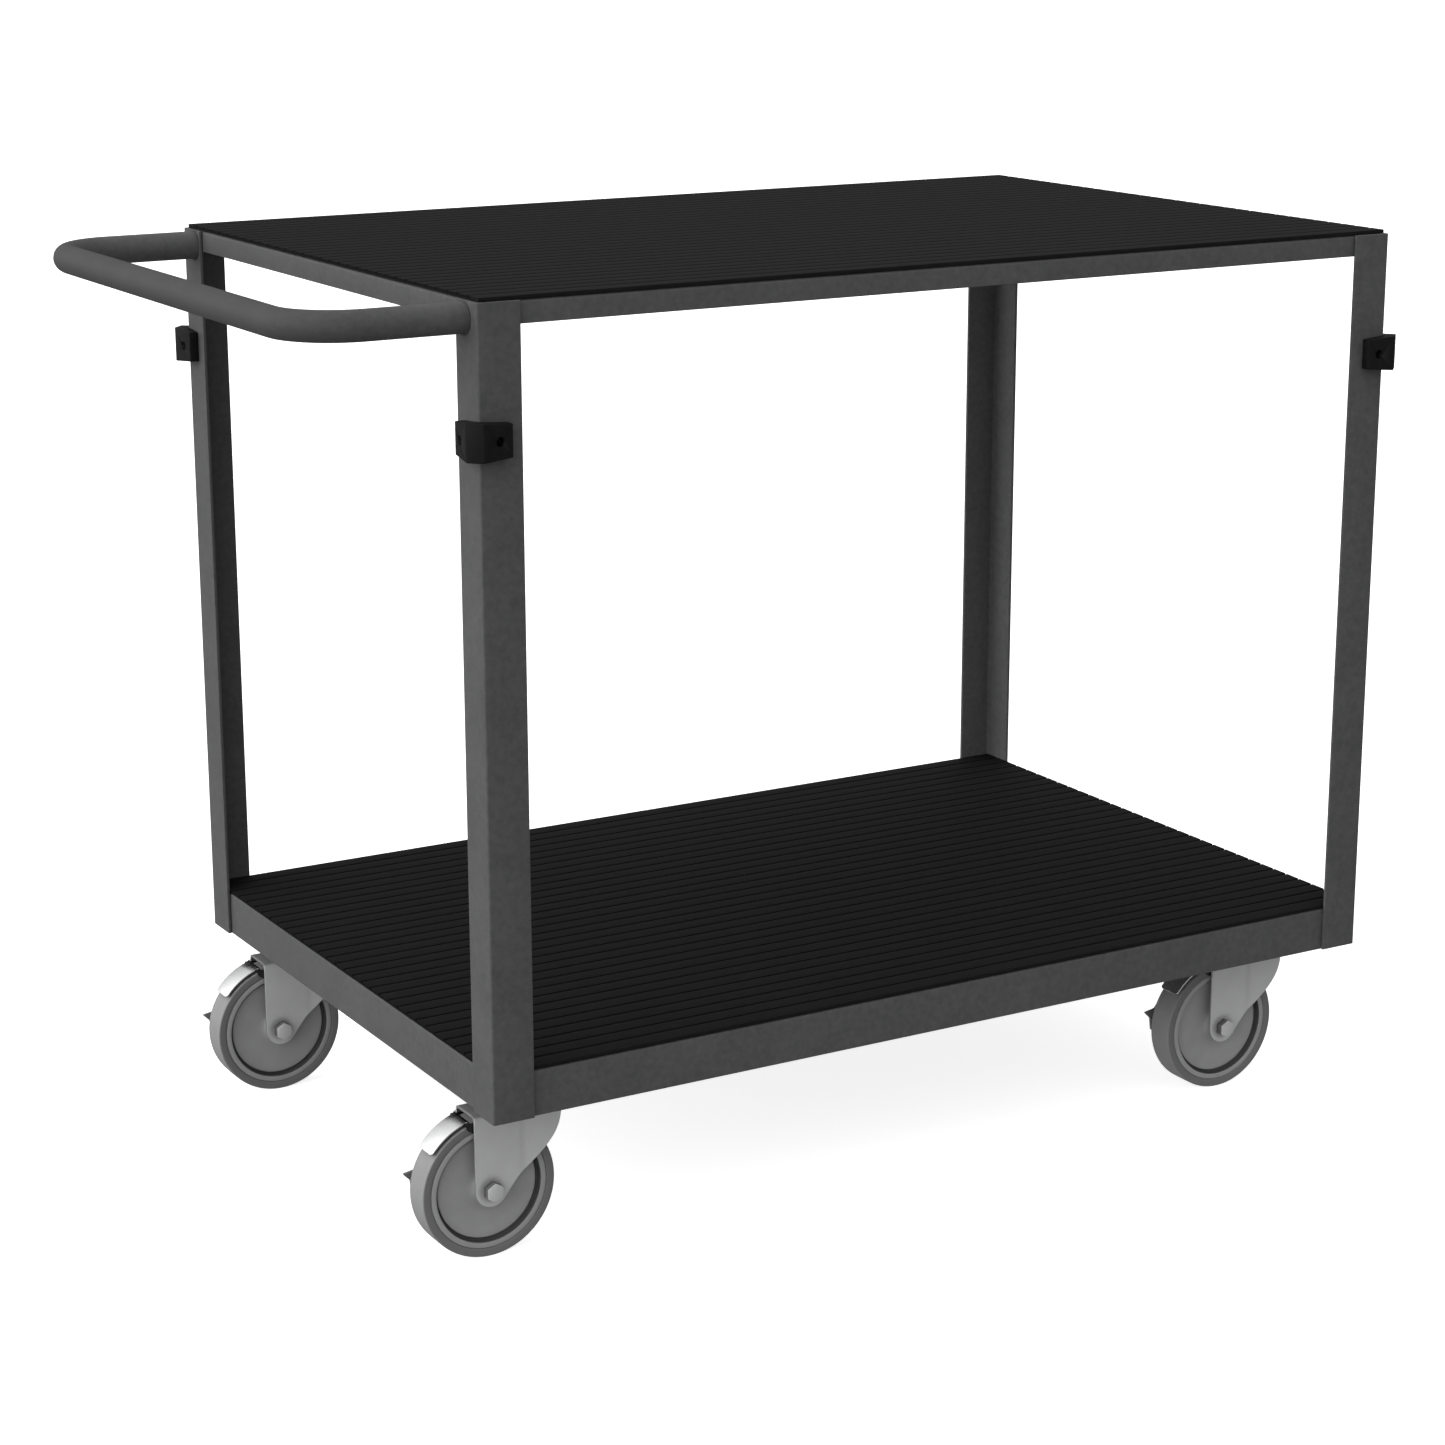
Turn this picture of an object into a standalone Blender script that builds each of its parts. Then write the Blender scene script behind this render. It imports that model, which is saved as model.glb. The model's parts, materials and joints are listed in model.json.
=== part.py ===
"""Rolling utility cart: two flush steel shelves with ribbed mats between four angle posts, a tubular push
handle, corner bumpers and four braked swivel casters. Metres, +Z up. The floor is z = 0, and the origin lies
on it under the middle of the overall box. The handle is at -X, the cart's rear, and +Y is its left."""

import math

import bmesh
import bpy

INCH = 0.0254
GAP = 0.0003  # between pieces that touch
WELD = 1e-6  # points this near are one
OVERLAP = 0.001  # of shapes that are joined, and of a cutter past what it cuts
SHARP = math.radians(35)

# Frame, over the posts
LENGTH = 36.25 * INCH
WIDTH = 24.25 * INCH
POST_LEG = 1.5 * INCH
POST_THICKNESS = 0.125 * INCH
POST_CORNER_RADIUS = 0.0025
POST_HEIGHT = 26.75 * INCH

# Shelves
SHEET = 0.002
TOP_SKIRT = 0.75 * INCH
LOWER_SKIRT = 1.6 * INCH
PAN_CORNER_RADIUS = 0.002

# Mats: flat ribs along X between narrow grooves
MAT_THICKNESS = 0.125 * INCH
RIB_PITCH = 0.75 * INCH
GROOVE_WIDTH = 0.0022
GROOVE_DEPTH = 0.0014

# Push handle, a bent tube
TUBE_RADIUS = 0.5 * INCH
TUBE_WALL = 0.0017
HANDLE_REACH = 5.4 * INCH
HANDLE_HALF_WIDTH = 11.17 * INCH
HANDLE_BEND = 2.125 * INCH
HANDLE_DROP = 0.54 * INCH

# Corner bumpers
BUMPER_THICKNESS = 0.0123
BUMPER_END_THICKNESS = 0.0085
BUMPER_LEG = 0.0255
BUMPER_CHAMFER_START = 0.002  # past the post's corner, on both outer faces
BUMPER_CORNER_HEIGHT = 0.0315
BUMPER_END_HEIGHT = 0.027
BUMPER_DROP = 4.25 * INCH
SCREW_INSET = 0.0135
COUNTERBORE = (0.0041, 0.005)  # radius, and height of its floor above the post
SCREW_HOLE_RADIUS = 0.0025

# Caster layout, and the channels that the casters bolt to
CASTER_X = 15.5 * INCH
CASTER_Y = 9.0 * INCH
CHANNEL_WIDTH = 0.110
CHANNEL_DEPTH = 0.030
CHANNEL_WALL = 0.0027

# Caster, measured from its kingpin's axis and the floor
CASTER_HEIGHT = 0.155
TRAIL = 0.040
PLATE = (0.080, 0.105, 0.0035)
PLATE_CORNER = 0.008
CUP_RADIUS = 0.024
CUP_WALL = 0.0025
CUP_DEPTH = 0.0085
CUP_ROOF = 0.003
RACE_RADIUS = 0.019
RACE_CHAMFER = (0.002, 0.003)  # radius and height
BALL_CIRCLE = 0.0155
BALL_RADIUS = 0.0030
KINGPIN_RADIUS = 0.0062
KINGPIN_HEAD = (0.0105, 0.004)  # radius and height

# Wheel
WHEEL_RADIUS = 0.0625
TYRE_WIDTH = 0.027
TYRE_SHOULDER = 0.0012
RIM_RADIUS = 0.0545
RIM_WIDTH = 0.0264
RIM_INNER_RADIUS = 0.0485
DISC_RADIUS = 0.0460
DISC_WIDTH = 0.0180
HUB_RADIUS = 0.0130
HUB_FOOT = (0.0020, 0.0015)  # how much wider, and how far above the disc
SLEEVE_RADIUS = 0.0080
AXLE_RADIUS = 0.0050
BOLT_HEAD = (0.0150, 0.0080)  # across flats and height
AXLE_NUT = (0.0160, 0.0070)
BOLT_PROUD = 0.0015  # past the nut

# Fork, bent from sheet
FORK_WIDTH = 0.037
FORK_SHEET = 0.0025
FORK_BEND = 0.005
CROWN_ABOVE_AXLE = 0.069
LOBE_RADIUS = 0.015
CREASE_X = 0.028
FLARE = math.tan(math.radians(6))
# The fork's front edge, as (height above the axle, distance in front of it)
FORK_FRONT = [(-0.0085, 0.0124), (0.009, 0.0265), (0.020, 0.0395), (0.0305, 0.0505), (0.0415, 0.0590),
              (0.0530, 0.0638), (0.069, 0.0660)]
CROWN_NOSE = 0.0675

# Brake pedal and its release lever, which turn on one pin
PIVOT = (-0.009, 0.057)  # from the axle, in X and Z
PEDAL_RADIUS = 0.0648
PEDAL_SHEET = 0.002
PEDAL_WIDTH = 0.025
PEDAL_SPAN = (math.radians(109), math.radians(143))
PEDAL_NECK = math.radians(3.5)
EAR = (0.0139, 0.0154)  # inner and outer face
PIVOT_PIN_RADIUS = 0.0026
PIVOT_PIN_END = 0.0193
LEVER_FACES = (0.0196, 0.0221)

# Places that follow from the sizes above
LOWER_DECK_Z = CASTER_HEIGHT + GAP + CHANNEL_DEPTH + GAP + SHEET
POST_BOTTOM = LOWER_DECK_Z - LOWER_SKIRT
TOP_DECK_Z = POST_BOTTOM + POST_HEIGHT
CART_X = (HANDLE_REACH + TUBE_RADIUS - BUMPER_THICKNESS - GAP) / 2
PAN_HALF_X = LENGTH / 2 - POST_THICKNESS - GAP
PAN_HALF_Y = WIDTH / 2 - POST_THICKNESS - GAP
CROWN_Z = WHEEL_RADIUS + CROWN_ABOVE_AXLE
PLATE_Z = CASTER_HEIGHT - PLATE[2]

# Sides of the round pieces
TYRE_SIDES = 36
HUB_SIDES = 24
CUP_SIDES = 20
BALL_SIDES = 16
TUBE_SIDES = 14
SMALL_SIDES = 12

CORNERS = {
    "rear_right": (-1, -1),
    "rear_left": (-1, 1),
    "front_right": (1, -1),
    "front_left": (1, 1),
}


def clear_scene():
    for obj in list(bpy.data.objects):
        bpy.data.objects.remove(obj, do_unlink=True)


def make_material(name, colour, roughness, metallic):
    made = bpy.data.materials.new(name)
    made.use_nodes = True
    shader = made.node_tree.nodes["Principled BSDF"]
    shader.inputs["Base Color"].default_value = (*colour, 1)
    shader.inputs["Roughness"].default_value = roughness
    shader.inputs["Metallic"].default_value = metallic
    return made


def finished_mesh(name, bm):
    """The bmesh as a mesh with its faces pointing out, smooth except at its sharp edges."""
    bmesh.ops.recalc_face_normals(bm, faces=bm.faces)
    mesh = bpy.data.meshes.new(name)
    bm.to_mesh(mesh)
    bm.free()
    mesh.shade_smooth()
    mesh.set_sharp_from_angle(angle=SHARP)
    return mesh


def boolean(mesh, tool, operation):
    """The mesh joined with, or cut by, the tool."""
    body = bpy.data.objects.new("body", mesh)
    other = bpy.data.objects.new("tool", tool)
    for obj in (body, other):
        bpy.context.scene.collection.objects.link(obj)
    modifier = body.modifiers.new("boolean", "BOOLEAN")
    modifier.operation = operation
    modifier.solver = "EXACT"
    modifier.object = other
    graph = bpy.context.evaluated_depsgraph_get()
    bm = bmesh.new()
    bm.from_mesh(body.evaluated_get(graph).to_mesh())
    bmesh.ops.remove_doubles(bm, verts=bm.verts, dist=WELD)
    for obj in (body, other):
        bpy.data.objects.remove(obj, do_unlink=True)
    return finished_mesh(mesh.name, bm)


def prism(name, outline, low, high, axis):
    """The outline extruded along axis. It holds (y, z) for X, (x, z) for Y and (x, y) for Z."""
    turn = {"X": lambda a, b, h: (h, a, b), "Y": lambda a, b, h: (a, h, b), "Z": lambda a, b, h: (a, b, h)}
    bm = bmesh.new()
    ends = [[bm.verts.new(turn[axis](a, b, h)) for a, b in outline] for h in (low, high)]
    for end in ends:
        bm.faces.new(end)
    for i in range(len(outline)):
        j = (i + 1) % len(outline)
        bm.faces.new((ends[0][i], ends[0][j], ends[1][j], ends[1][i]))
    return finished_mesh(name, bm)


def turned(name, profile, axis, sides, centre=(0, 0, 0)):
    """The profile of (radius, height) turned about axis, Y or Z. A profile that meets the axis starts and
    ends there, and any other is a closed loop round a bore."""
    turn = {"Y": lambda u, v, h: (u, h, v), "Z": lambda u, v, h: (u, v, h)}
    bm = bmesh.new()
    rings = []
    for radius, height in profile:
        count = sides if radius else 1
        angles = [2 * math.pi * k / sides for k in range(count)]
        spots = [turn[axis](radius * math.cos(a), radius * math.sin(a), height) for a in angles]
        rings.append([bm.verts.new([p + c for p, c in zip(spot, centre)]) for spot in spots])
    pairs = list(zip(rings, rings[1:]))
    if profile[0][0]:
        pairs.append((rings[-1], rings[0]))
    for first, second in pairs:
        for k in range(sides):
            n = (k + 1) % sides
            corners = (first[k % len(first)], first[n % len(first)],
                       second[n % len(second)], second[k % len(second)])
            bm.faces.new(list(dict.fromkeys(corners)))
    return finished_mesh(name, bm)


def hexagon(across_flats):
    radius = across_flats / math.sqrt(3)
    return [(radius * math.cos(math.pi * k / 3), radius * math.sin(math.pi * k / 3)) for k in range(6)]


def rounded_rectangle(half_x, half_y, radius, steps=2):
    """Points round a rectangle whose corners are arcs."""
    points = []
    for quarter, (sx, sy) in enumerate(((1, 1), (-1, 1), (-1, -1), (1, -1))):
        for step in range(steps + 1):
            angle = math.pi / 2 * (quarter + step / steps)
            points.append((sx * (half_x - radius) + radius * math.cos(angle),
                           sy * (half_y - radius) + radius * math.sin(angle)))
    return points


def place(name, mesh, look, parent=None, location=(0, 0, 0)):
    obj = bpy.data.objects.new(name, mesh)
    bpy.context.scene.collection.objects.link(obj)
    obj.parent = parent
    obj.location = location
    if not mesh.materials:
        mesh.materials.append(look)
    return obj


def empty(name, location, parent=None):
    made = bpy.data.objects.new(name, None)
    bpy.context.scene.collection.objects.link(made)
    made.parent = parent
    made.location = location
    return made


def post_mesh(sx, sy):
    """Steel angle with its outer corner rounded. Distances run inward from the cart's corner."""
    t, leg, r = POST_THICKNESS, POST_LEG, POST_CORNER_RADIUS
    inner = [(leg, 0), (leg, t), (t, t), (t, leg), (0, leg)]
    arc = [(r - r * math.cos(a), r - r * math.sin(a)) for a in (0, math.pi / 4, math.pi / 2)]
    outline = [(CART_X + sx * (LENGTH / 2 - u), sy * (WIDTH / 2 - v)) for u, v in inner + arc]
    return prism("post", outline, POST_BOTTOM, TOP_DECK_Z, "Z")


def pan_mesh(name, deck_z, skirt):
    """A flat sheet with its four edges turned down and its corners closed."""
    bm = bmesh.new()
    loops = []
    for inset, z in ((0, deck_z), (0, deck_z - skirt), (SHEET, deck_z - skirt), (SHEET, deck_z - SHEET)):
        ring = rounded_rectangle(PAN_HALF_X - inset, PAN_HALF_Y - inset, PAN_CORNER_RADIUS)
        loops.append([bm.verts.new((CART_X + x, y, z)) for x, y in ring])
    bm.faces.new(loops[0])
    bm.faces.new(loops[3])
    for upper, lower in zip(loops, loops[1:]):
        for i in range(len(upper)):
            j = (i + 1) % len(upper)
            bm.faces.new((upper[i], upper[j], lower[j], lower[i]))
    return finished_mesh(name, bm)


def mat_mesh(name, deck_z):
    low, high = deck_z + GAP, deck_z + GAP + MAT_THICKNESS
    count = int(PAN_HALF_Y / RIB_PITCH)
    outline = [(-PAN_HALF_Y, low), (-PAN_HALF_Y, high)]
    for k in range(-count, count + 1):
        y = k * RIB_PITCH
        half = GROOVE_WIDTH / 2
        floor = high - GROOVE_DEPTH
        outline += [(y - half, high), (y - half, floor), (y + half, floor), (y + half, high)]
    outline += [(PAN_HALF_Y, high), (PAN_HALF_Y, low)]
    return prism(name, outline, CART_X - PAN_HALF_X, CART_X + PAN_HALF_X, "X")


def handle_path():
    """Points and directions along the handle's middle line, from the left post round to the right one."""
    start = CART_X - LENGTH / 2 - GAP
    end = CART_X - LENGTH / 2 - HANDLE_REACH
    steps = 6
    path = [((start, HANDLE_HALF_WIDTH), math.pi)]
    for side, first in ((1, math.pi), (-1, 1.5 * math.pi)):
        centre = (end + HANDLE_BEND, side * (HANDLE_HALF_WIDTH - HANDLE_BEND))
        for step in range(steps + 1):
            heading = first + math.pi / 2 * step / steps
            outward = heading - math.pi / 2
            spot = (centre[0] + HANDLE_BEND * math.cos(outward), centre[1] + HANDLE_BEND * math.sin(outward))
            path.append((spot, heading))
    path.append(((start, -HANDLE_HALF_WIDTH), 2 * math.pi))
    return path


def handle_mesh():
    """The tube, open at both ends, which the posts close."""
    z = TOP_DECK_Z - HANDLE_DROP
    bm = bmesh.new()
    skins = []
    for radius in (TUBE_RADIUS, TUBE_RADIUS - TUBE_WALL):
        rings = []
        for (x, y), heading in handle_path():
            across = (-math.sin(heading), math.cos(heading))
            ring = []
            for k in range(TUBE_SIDES):
                angle = 2 * math.pi * k / TUBE_SIDES
                out, up = radius * math.cos(angle), radius * math.sin(angle)
                ring.append(bm.verts.new((x + out * across[0], y + out * across[1], z + up)))
            rings.append(ring)
        skins.append(rings)
    bands = [pair for rings in skins for pair in zip(rings, rings[1:])]
    bands += [(skins[0][0], skins[1][0]), (skins[0][-1], skins[1][-1])]
    for first, second in bands:
        for k in range(TUBE_SIDES):
            n = (k + 1) % TUBE_SIDES
            bm.faces.new((first[k], first[n], second[n], second[k]))
    return finished_mesh("push_handle", bm)


def bumper_mesh(sx, sy):
    """A moulded corner: two legs on the post's outer faces, a chamfer between them, and a counterbored hole
    in each leg. It is tallest and thickest at the corner."""
    t, end, leg, c = BUMPER_THICKNESS + GAP, BUMPER_END_THICKNESS + GAP, BUMPER_LEG, -BUMPER_CHAMFER_START
    plan = [(leg, -end), (c, -t), (-t, c), (-end, leg), (-GAP, leg), (-GAP, -GAP), (leg, -GAP)]
    tall = (1, 2, 5)
    middle = TOP_DECK_Z - BUMPER_DROP
    corner_x, corner_y = CART_X + sx * LENGTH / 2, sy * WIDTH / 2
    bm = bmesh.new()
    layers = []
    for up in (1, -1):
        layer = []
        for i, (u, v) in enumerate(plan):
            half = (BUMPER_CORNER_HEIGHT if i in tall else BUMPER_END_HEIGHT) / 2
            layer.append(bm.verts.new((corner_x - sx * u, corner_y - sy * v, middle + up * half)))
        layers.append(layer)
        for part in ((0, 1, 5, 6), (1, 2, 5), (2, 3, 4, 5)):
            bm.faces.new([layer[i] for i in part])
    for i in range(len(plan)):
        j = (i + 1) % len(plan)
        bm.faces.new((layers[0][i], layers[0][j], layers[1][j], layers[1][i]))
    mesh = finished_mesh("bumper", bm)
    for tool in bumper_hole_tools(sx, sy, middle):
        mesh = boolean(mesh, tool, "DIFFERENCE")
    return mesh


def bumper_hole_tools(sx, sy, z):
    """A counterbore and a through hole for each leg. The tool for the X leg is turned about Y first."""
    radius, shelf = COUNTERBORE
    start, end = -OVERLAP, BUMPER_THICKNESS + OVERLAP
    profile = [(0, start), (SCREW_HOLE_RADIUS, start), (SCREW_HOLE_RADIUS, shelf), (radius, shelf),
               (radius, end), (0, end)]
    tools = []
    for along_x in (False, True):
        mesh = turned("hole", profile, "Y", SMALL_SIDES)
        for vertex in mesh.vertices:
            x, y, height = vertex.co
            if along_x:
                vertex.co = (CART_X + sx * (LENGTH / 2 + y), sy * (WIDTH / 2 - SCREW_INSET) + x, z + height)
            else:
                vertex.co = (CART_X + sx * (LENGTH / 2 - SCREW_INSET) + x, sy * (WIDTH / 2 + y), z + height)
        bm = bmesh.new()
        bm.from_mesh(mesh)
        tools.append(finished_mesh("hole", bm))
    return tools


def channel_mesh(sx):
    """A channel across the cart, open upward, that carries two casters under the lower shelf."""
    half, wall = CHANNEL_WIDTH / 2, CHANNEL_WALL
    low, high = CASTER_HEIGHT + GAP, CASTER_HEIGHT + GAP + CHANNEL_DEPTH
    middle = CART_X + sx * CASTER_X
    section = [(-half, low), (half, low), (half, high), (half - wall, high), (half - wall, low + wall),
               (wall - half, low + wall), (wall - half, high), (-half, high)]
    reach = PAN_HALF_Y - SHEET - 3 * GAP
    return prism("caster_channel", [(middle + x, z) for x, z in section], -reach, reach, "Y")


def top_plate_mesh():
    """The bolted plate, with the upper ball cup pressed under it and a hole for the kingpin."""
    outline = rounded_rectangle(PLATE[0] / 2, PLATE[1] / 2, PLATE_CORNER)
    plate = prism("caster_plate", outline, PLATE_Z, CASTER_HEIGHT, "Z")
    bore = KINGPIN_RADIUS + 2 * GAP
    hole = bore + OVERLAP
    top, roof, lip = PLATE_Z + OVERLAP, PLATE_Z - CUP_ROOF, PLATE_Z - CUP_DEPTH
    cup = [(hole, top), (CUP_RADIUS, top), (CUP_RADIUS, lip), (CUP_RADIUS - CUP_WALL, lip),
           (CUP_RADIUS - CUP_WALL, roof), (hole, roof)]
    plate = boolean(plate, turned("cup", cup, "Z", CUP_SIDES), "UNION")
    drill = [(0, lip), (bore, lip), (bore, CASTER_HEIGHT + OVERLAP), (0, CASTER_HEIGHT + OVERLAP)]
    return boolean(plate, turned("drill", drill, "Z", SMALL_SIDES), "DIFFERENCE")


def kingpin_mesh():
    radius, height = KINGPIN_HEAD
    under = CROWN_Z - FORK_SHEET - GAP
    profile = [(0, under - height), (radius, under - height), (radius, under), (KINGPIN_RADIUS, under),
               (KINGPIN_RADIUS, CASTER_HEIGHT), (0, CASTER_HEIGHT)]
    return turned("kingpin", profile, "Z", SMALL_SIDES)


def race_top():
    """Height of the lower race that the balls run on."""
    return PLATE_Z - CUP_ROOF - GAP - 2 * BALL_RADIUS - GAP


def ball_ring_mesh():
    sides = 6
    middle = race_top() + GAP + BALL_RADIUS
    angles = [math.pi / 2 + 2 * math.pi * k / sides for k in range(sides)]
    profile = [(BALL_CIRCLE + BALL_RADIUS * math.cos(a), middle + BALL_RADIUS * math.sin(a)) for a in angles]
    return turned("ball_ring", profile, "Z", BALL_SIDES)


def fork_front(z):
    """How far the fork reaches in front of the axle at height z above it."""
    for (low, x_low), (high, x_high) in zip(FORK_FRONT, FORK_FRONT[1:]):
        if z <= high:
            return x_low + (x_high - x_low) * (z - low) / (high - low)
    return FORK_FRONT[-1][1]


def fork_rows():
    """Rows from the crown's middle down one leg, each as (y, z, rear x, front x) from the axle. The foot is
    round, and the front edge runs into it where it starts."""
    half, bend, crown = FORK_WIDTH / 2, FORK_BEND, CROWN_ABOVE_AXLE
    rows = [(0, crown, -LOBE_RADIUS, CROWN_NOSE), (half - bend, crown, -LOBE_RADIUS, fork_front(crown))]
    for angle in (math.pi / 6, math.pi / 3, math.pi / 2):
        z = crown - bend + bend * math.cos(angle)
        rows.append((half - bend + bend * math.sin(angle), z, -LOBE_RADIUS, fork_front(z)))
    for z in [z for z, _ in reversed(FORK_FRONT[1:-1])] + [0]:
        rows.append((half, z, -LOBE_RADIUS, fork_front(z)))
    tangent = FORK_FRONT[0][0]
    for drop in (tangent, -0.83 * LOBE_RADIUS, -0.97 * LOBE_RADIUS):
        reach = math.sqrt(LOBE_RADIUS**2 - drop**2)
        rows.append((half, drop, -reach, reach))
    return rows


def fork_sheet_mesh():
    """The outer skin of the fork from one leg's foot over the crown to the other's, thickened inward. In
    front of the crease the legs flare out to the swivel head."""
    rows = fork_rows()
    rows = [(-y, z, rear, front) for y, z, rear, front in reversed(rows[1:])] + rows
    bm = bmesh.new()
    grid = []
    for y, z, rear, front in rows:
        crease = min(max(CREASE_X, rear), front) if front > CREASE_X else (rear + front) / 2
        stops = [rear, (rear + crease) / 2, crease, (crease + front) / 2, front]
        line = []
        for x in stops:
            flare = max(0, x - CREASE_X) * FLARE * y / (FORK_WIDTH / 2)
            line.append(bm.verts.new((x, y + flare, z)))
        grid.append(line)
    for first, second in zip(grid, grid[1:]):
        for k in range(len(first) - 1):
            bm.faces.new((first[k], second[k], second[k + 1], first[k + 1]))
    bmesh.ops.recalc_face_normals(bm, faces=bm.faces)
    middle = next(f for f in bm.faces if f.calc_center_median().z > CROWN_ABOVE_AXLE - GAP)
    if middle.normal.z < 0:
        bmesh.ops.reverse_faces(bm, faces=bm.faces)
    mesh = bpy.data.meshes.new("fork_skin")
    bm.to_mesh(mesh)
    bm.free()
    skin = bpy.data.objects.new("fork_skin", mesh)
    bpy.context.scene.collection.objects.link(skin)
    solidify = skin.modifiers.new("sheet", "SOLIDIFY")
    solidify.thickness = FORK_SHEET
    solidify.offset = -1
    solidify.use_even_offset = True
    graph = bpy.context.evaluated_depsgraph_get()
    result = bpy.data.meshes.new_from_object(skin.evaluated_get(graph))
    bpy.data.objects.remove(skin, do_unlink=True)
    return result


def fork_mesh():
    """The bent sheet with the lower ball race on its crown and its holes. The axle is the origin."""
    top = race_top() - WHEEL_RADIUS
    base = CROWN_ABOVE_AXLE - OVERLAP
    narrowing, fall = RACE_CHAMFER
    race = [(KINGPIN_RADIUS, base), (RACE_RADIUS, base), (RACE_RADIUS, top - fall),
            (RACE_RADIUS - narrowing, top), (KINGPIN_RADIUS, top)]
    mesh = boolean(fork_sheet_mesh(), turned("race", race, "Z", CUP_SIDES, (TRAIL, 0, 0)), "UNION")
    bore = KINGPIN_RADIUS + 2 * GAP
    low, high = CROWN_ABOVE_AXLE - FORK_SHEET - OVERLAP, top + OVERLAP
    drills = [
        turned("drill", [(0, low), (bore, low), (bore, high), (0, high)], "Z", SMALL_SIDES, (TRAIL, 0, 0)),
        cross_drill(AXLE_RADIUS + GAP, (0, 0)),
        cross_drill(PIVOT_PIN_RADIUS + GAP, PIVOT),
    ]
    for drill in drills:
        mesh = boolean(mesh, drill, "DIFFERENCE")
    mesh.shade_smooth()
    mesh.set_sharp_from_angle(angle=SHARP)
    return mesh


def cross_drill(radius, centre):
    reach = FORK_WIDTH
    profile = [(0, -reach), (radius, -reach), (radius, reach), (0, reach)]
    return turned("drill", profile, "Y", SMALL_SIDES, (centre[0], 0, centre[1]))


def axle_bolt_mesh():
    flats, height = BOLT_HEAD
    seat = FORK_WIDTH / 2 + GAP
    start, end = OVERLAP - seat - height, seat + AXLE_NUT[1] + BOLT_PROUD
    profile = [(0, start), (AXLE_RADIUS, start), (AXLE_RADIUS, end), (0, end)]
    shaft = turned("axle_bolt", profile, "Y", SMALL_SIDES)
    return boolean(prism("head", hexagon(flats), -seat - height, -seat, "Y"), shaft, "UNION")


def axle_nut_mesh():
    flats, height = AXLE_NUT
    seat = FORK_WIDTH / 2 + GAP
    return boolean(prism("axle_nut", hexagon(flats), seat, seat + height, "Y"),
                   cross_drill(AXLE_RADIUS + GAP, (0, 0)), "DIFFERENCE")


def sleeve_mesh():
    half = FORK_WIDTH / 2 - FORK_SHEET - GAP
    inner, outer = AXLE_RADIUS + GAP, SLEEVE_RADIUS
    profile = [(inner, -half), (outer, -half), (outer, half), (inner, half)]
    return turned("axle_sleeve", profile, "Y", SMALL_SIDES)


def both_sides(half_profile):
    """A closed profile from its half on the +Y side, listed from the bore outward."""
    return [(r, -y) for r, y in half_profile] + [(r, y) for r, y in reversed(half_profile)]


def hub_mesh():
    """Rim, dished disc and boss in one casting, with a bore for the sleeve."""
    boss = FORK_WIDTH / 2 - FORK_SHEET - 2 * GAP
    wider, above = HUB_FOOT
    half = [(SLEEVE_RADIUS + GAP, boss), (HUB_RADIUS, boss), (HUB_RADIUS + wider, DISC_WIDTH / 2 + above),
            (DISC_RADIUS, DISC_WIDTH / 2), (RIM_INNER_RADIUS, RIM_WIDTH / 2), (RIM_RADIUS, RIM_WIDTH / 2)]
    return turned("wheel_hub", both_sides(half), "Y", HUB_SIDES)


def tyre_mesh():
    """Its lowest point is one edge of the faceted tread, at the floor."""
    half, shoulder = TYRE_WIDTH / 2, TYRE_SHOULDER
    rim = RIM_RADIUS + GAP
    profile = [(rim, half - 0.0005), (WHEEL_RADIUS - shoulder, half),
               (WHEEL_RADIUS - 0.3 * shoulder, half - 0.3 * shoulder), (WHEEL_RADIUS, half - shoulder)]
    return turned("tyre", both_sides(profile), "Y", TYRE_SIDES)


def arc_plate(inner, outer, start, end, steps):
    """An outline in X and Z between two arcs round the axle."""
    angles = [start + (end - start) * k / steps for k in range(steps + 1)]
    points = [(outer * math.cos(a), outer * math.sin(a)) for a in angles]
    return points + [(inner * math.cos(a), inner * math.sin(a)) for a in reversed(angles)]


def pedal_mesh():
    """A plate curved round the tyre, a wider neck at its upper end, two ears inside the fork, and the pin's
    two ends fixed in the ears."""
    start, end = PEDAL_SPAN
    outer = PEDAL_RADIUS + PEDAL_SHEET
    blade = arc_plate(PEDAL_RADIUS, outer, start, end, 8)
    mesh = prism("brake_pedal", blade, -PEDAL_WIDTH / 2, PEDAL_WIDTH / 2, "Y")
    neck = arc_plate(PEDAL_RADIUS - 0.0002, outer + 0.0002, start - 0.001, start + PEDAL_NECK, 3)
    mesh = boolean(mesh, prism("neck", neck, -EAR[1], EAR[1], "Y"), "UNION")
    x, z = PIVOT
    ear = [(-0.0252, 0.0621), (-0.0215, 0.0641), (x, z + 0.0045), (x + 0.0032, z + 0.0032), (x + 0.0045, z),
           (x + 0.0032, z - 0.0032), (x, z - 0.0045), (-0.0195, 0.0560), (-0.0248, 0.0592)]
    for side in (-1, 1):
        faces = sorted(side * face for face in EAR)
        mesh = boolean(mesh, prism("ear", ear, *faces, "Y"), "UNION")
        pin = sorted(side * y for y in (EAR[0] + 0.0004, PIVOT_PIN_END))
        profile = [(0, pin[0]), (PIVOT_PIN_RADIUS, pin[0]), (PIVOT_PIN_RADIUS, pin[1]), (0, pin[1])]
        mesh = boolean(mesh, turned("pin", profile, "Y", SMALL_SIDES, (x, 0, z)), "UNION")
    return moved(mesh, (-x, 0, -z))


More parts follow.
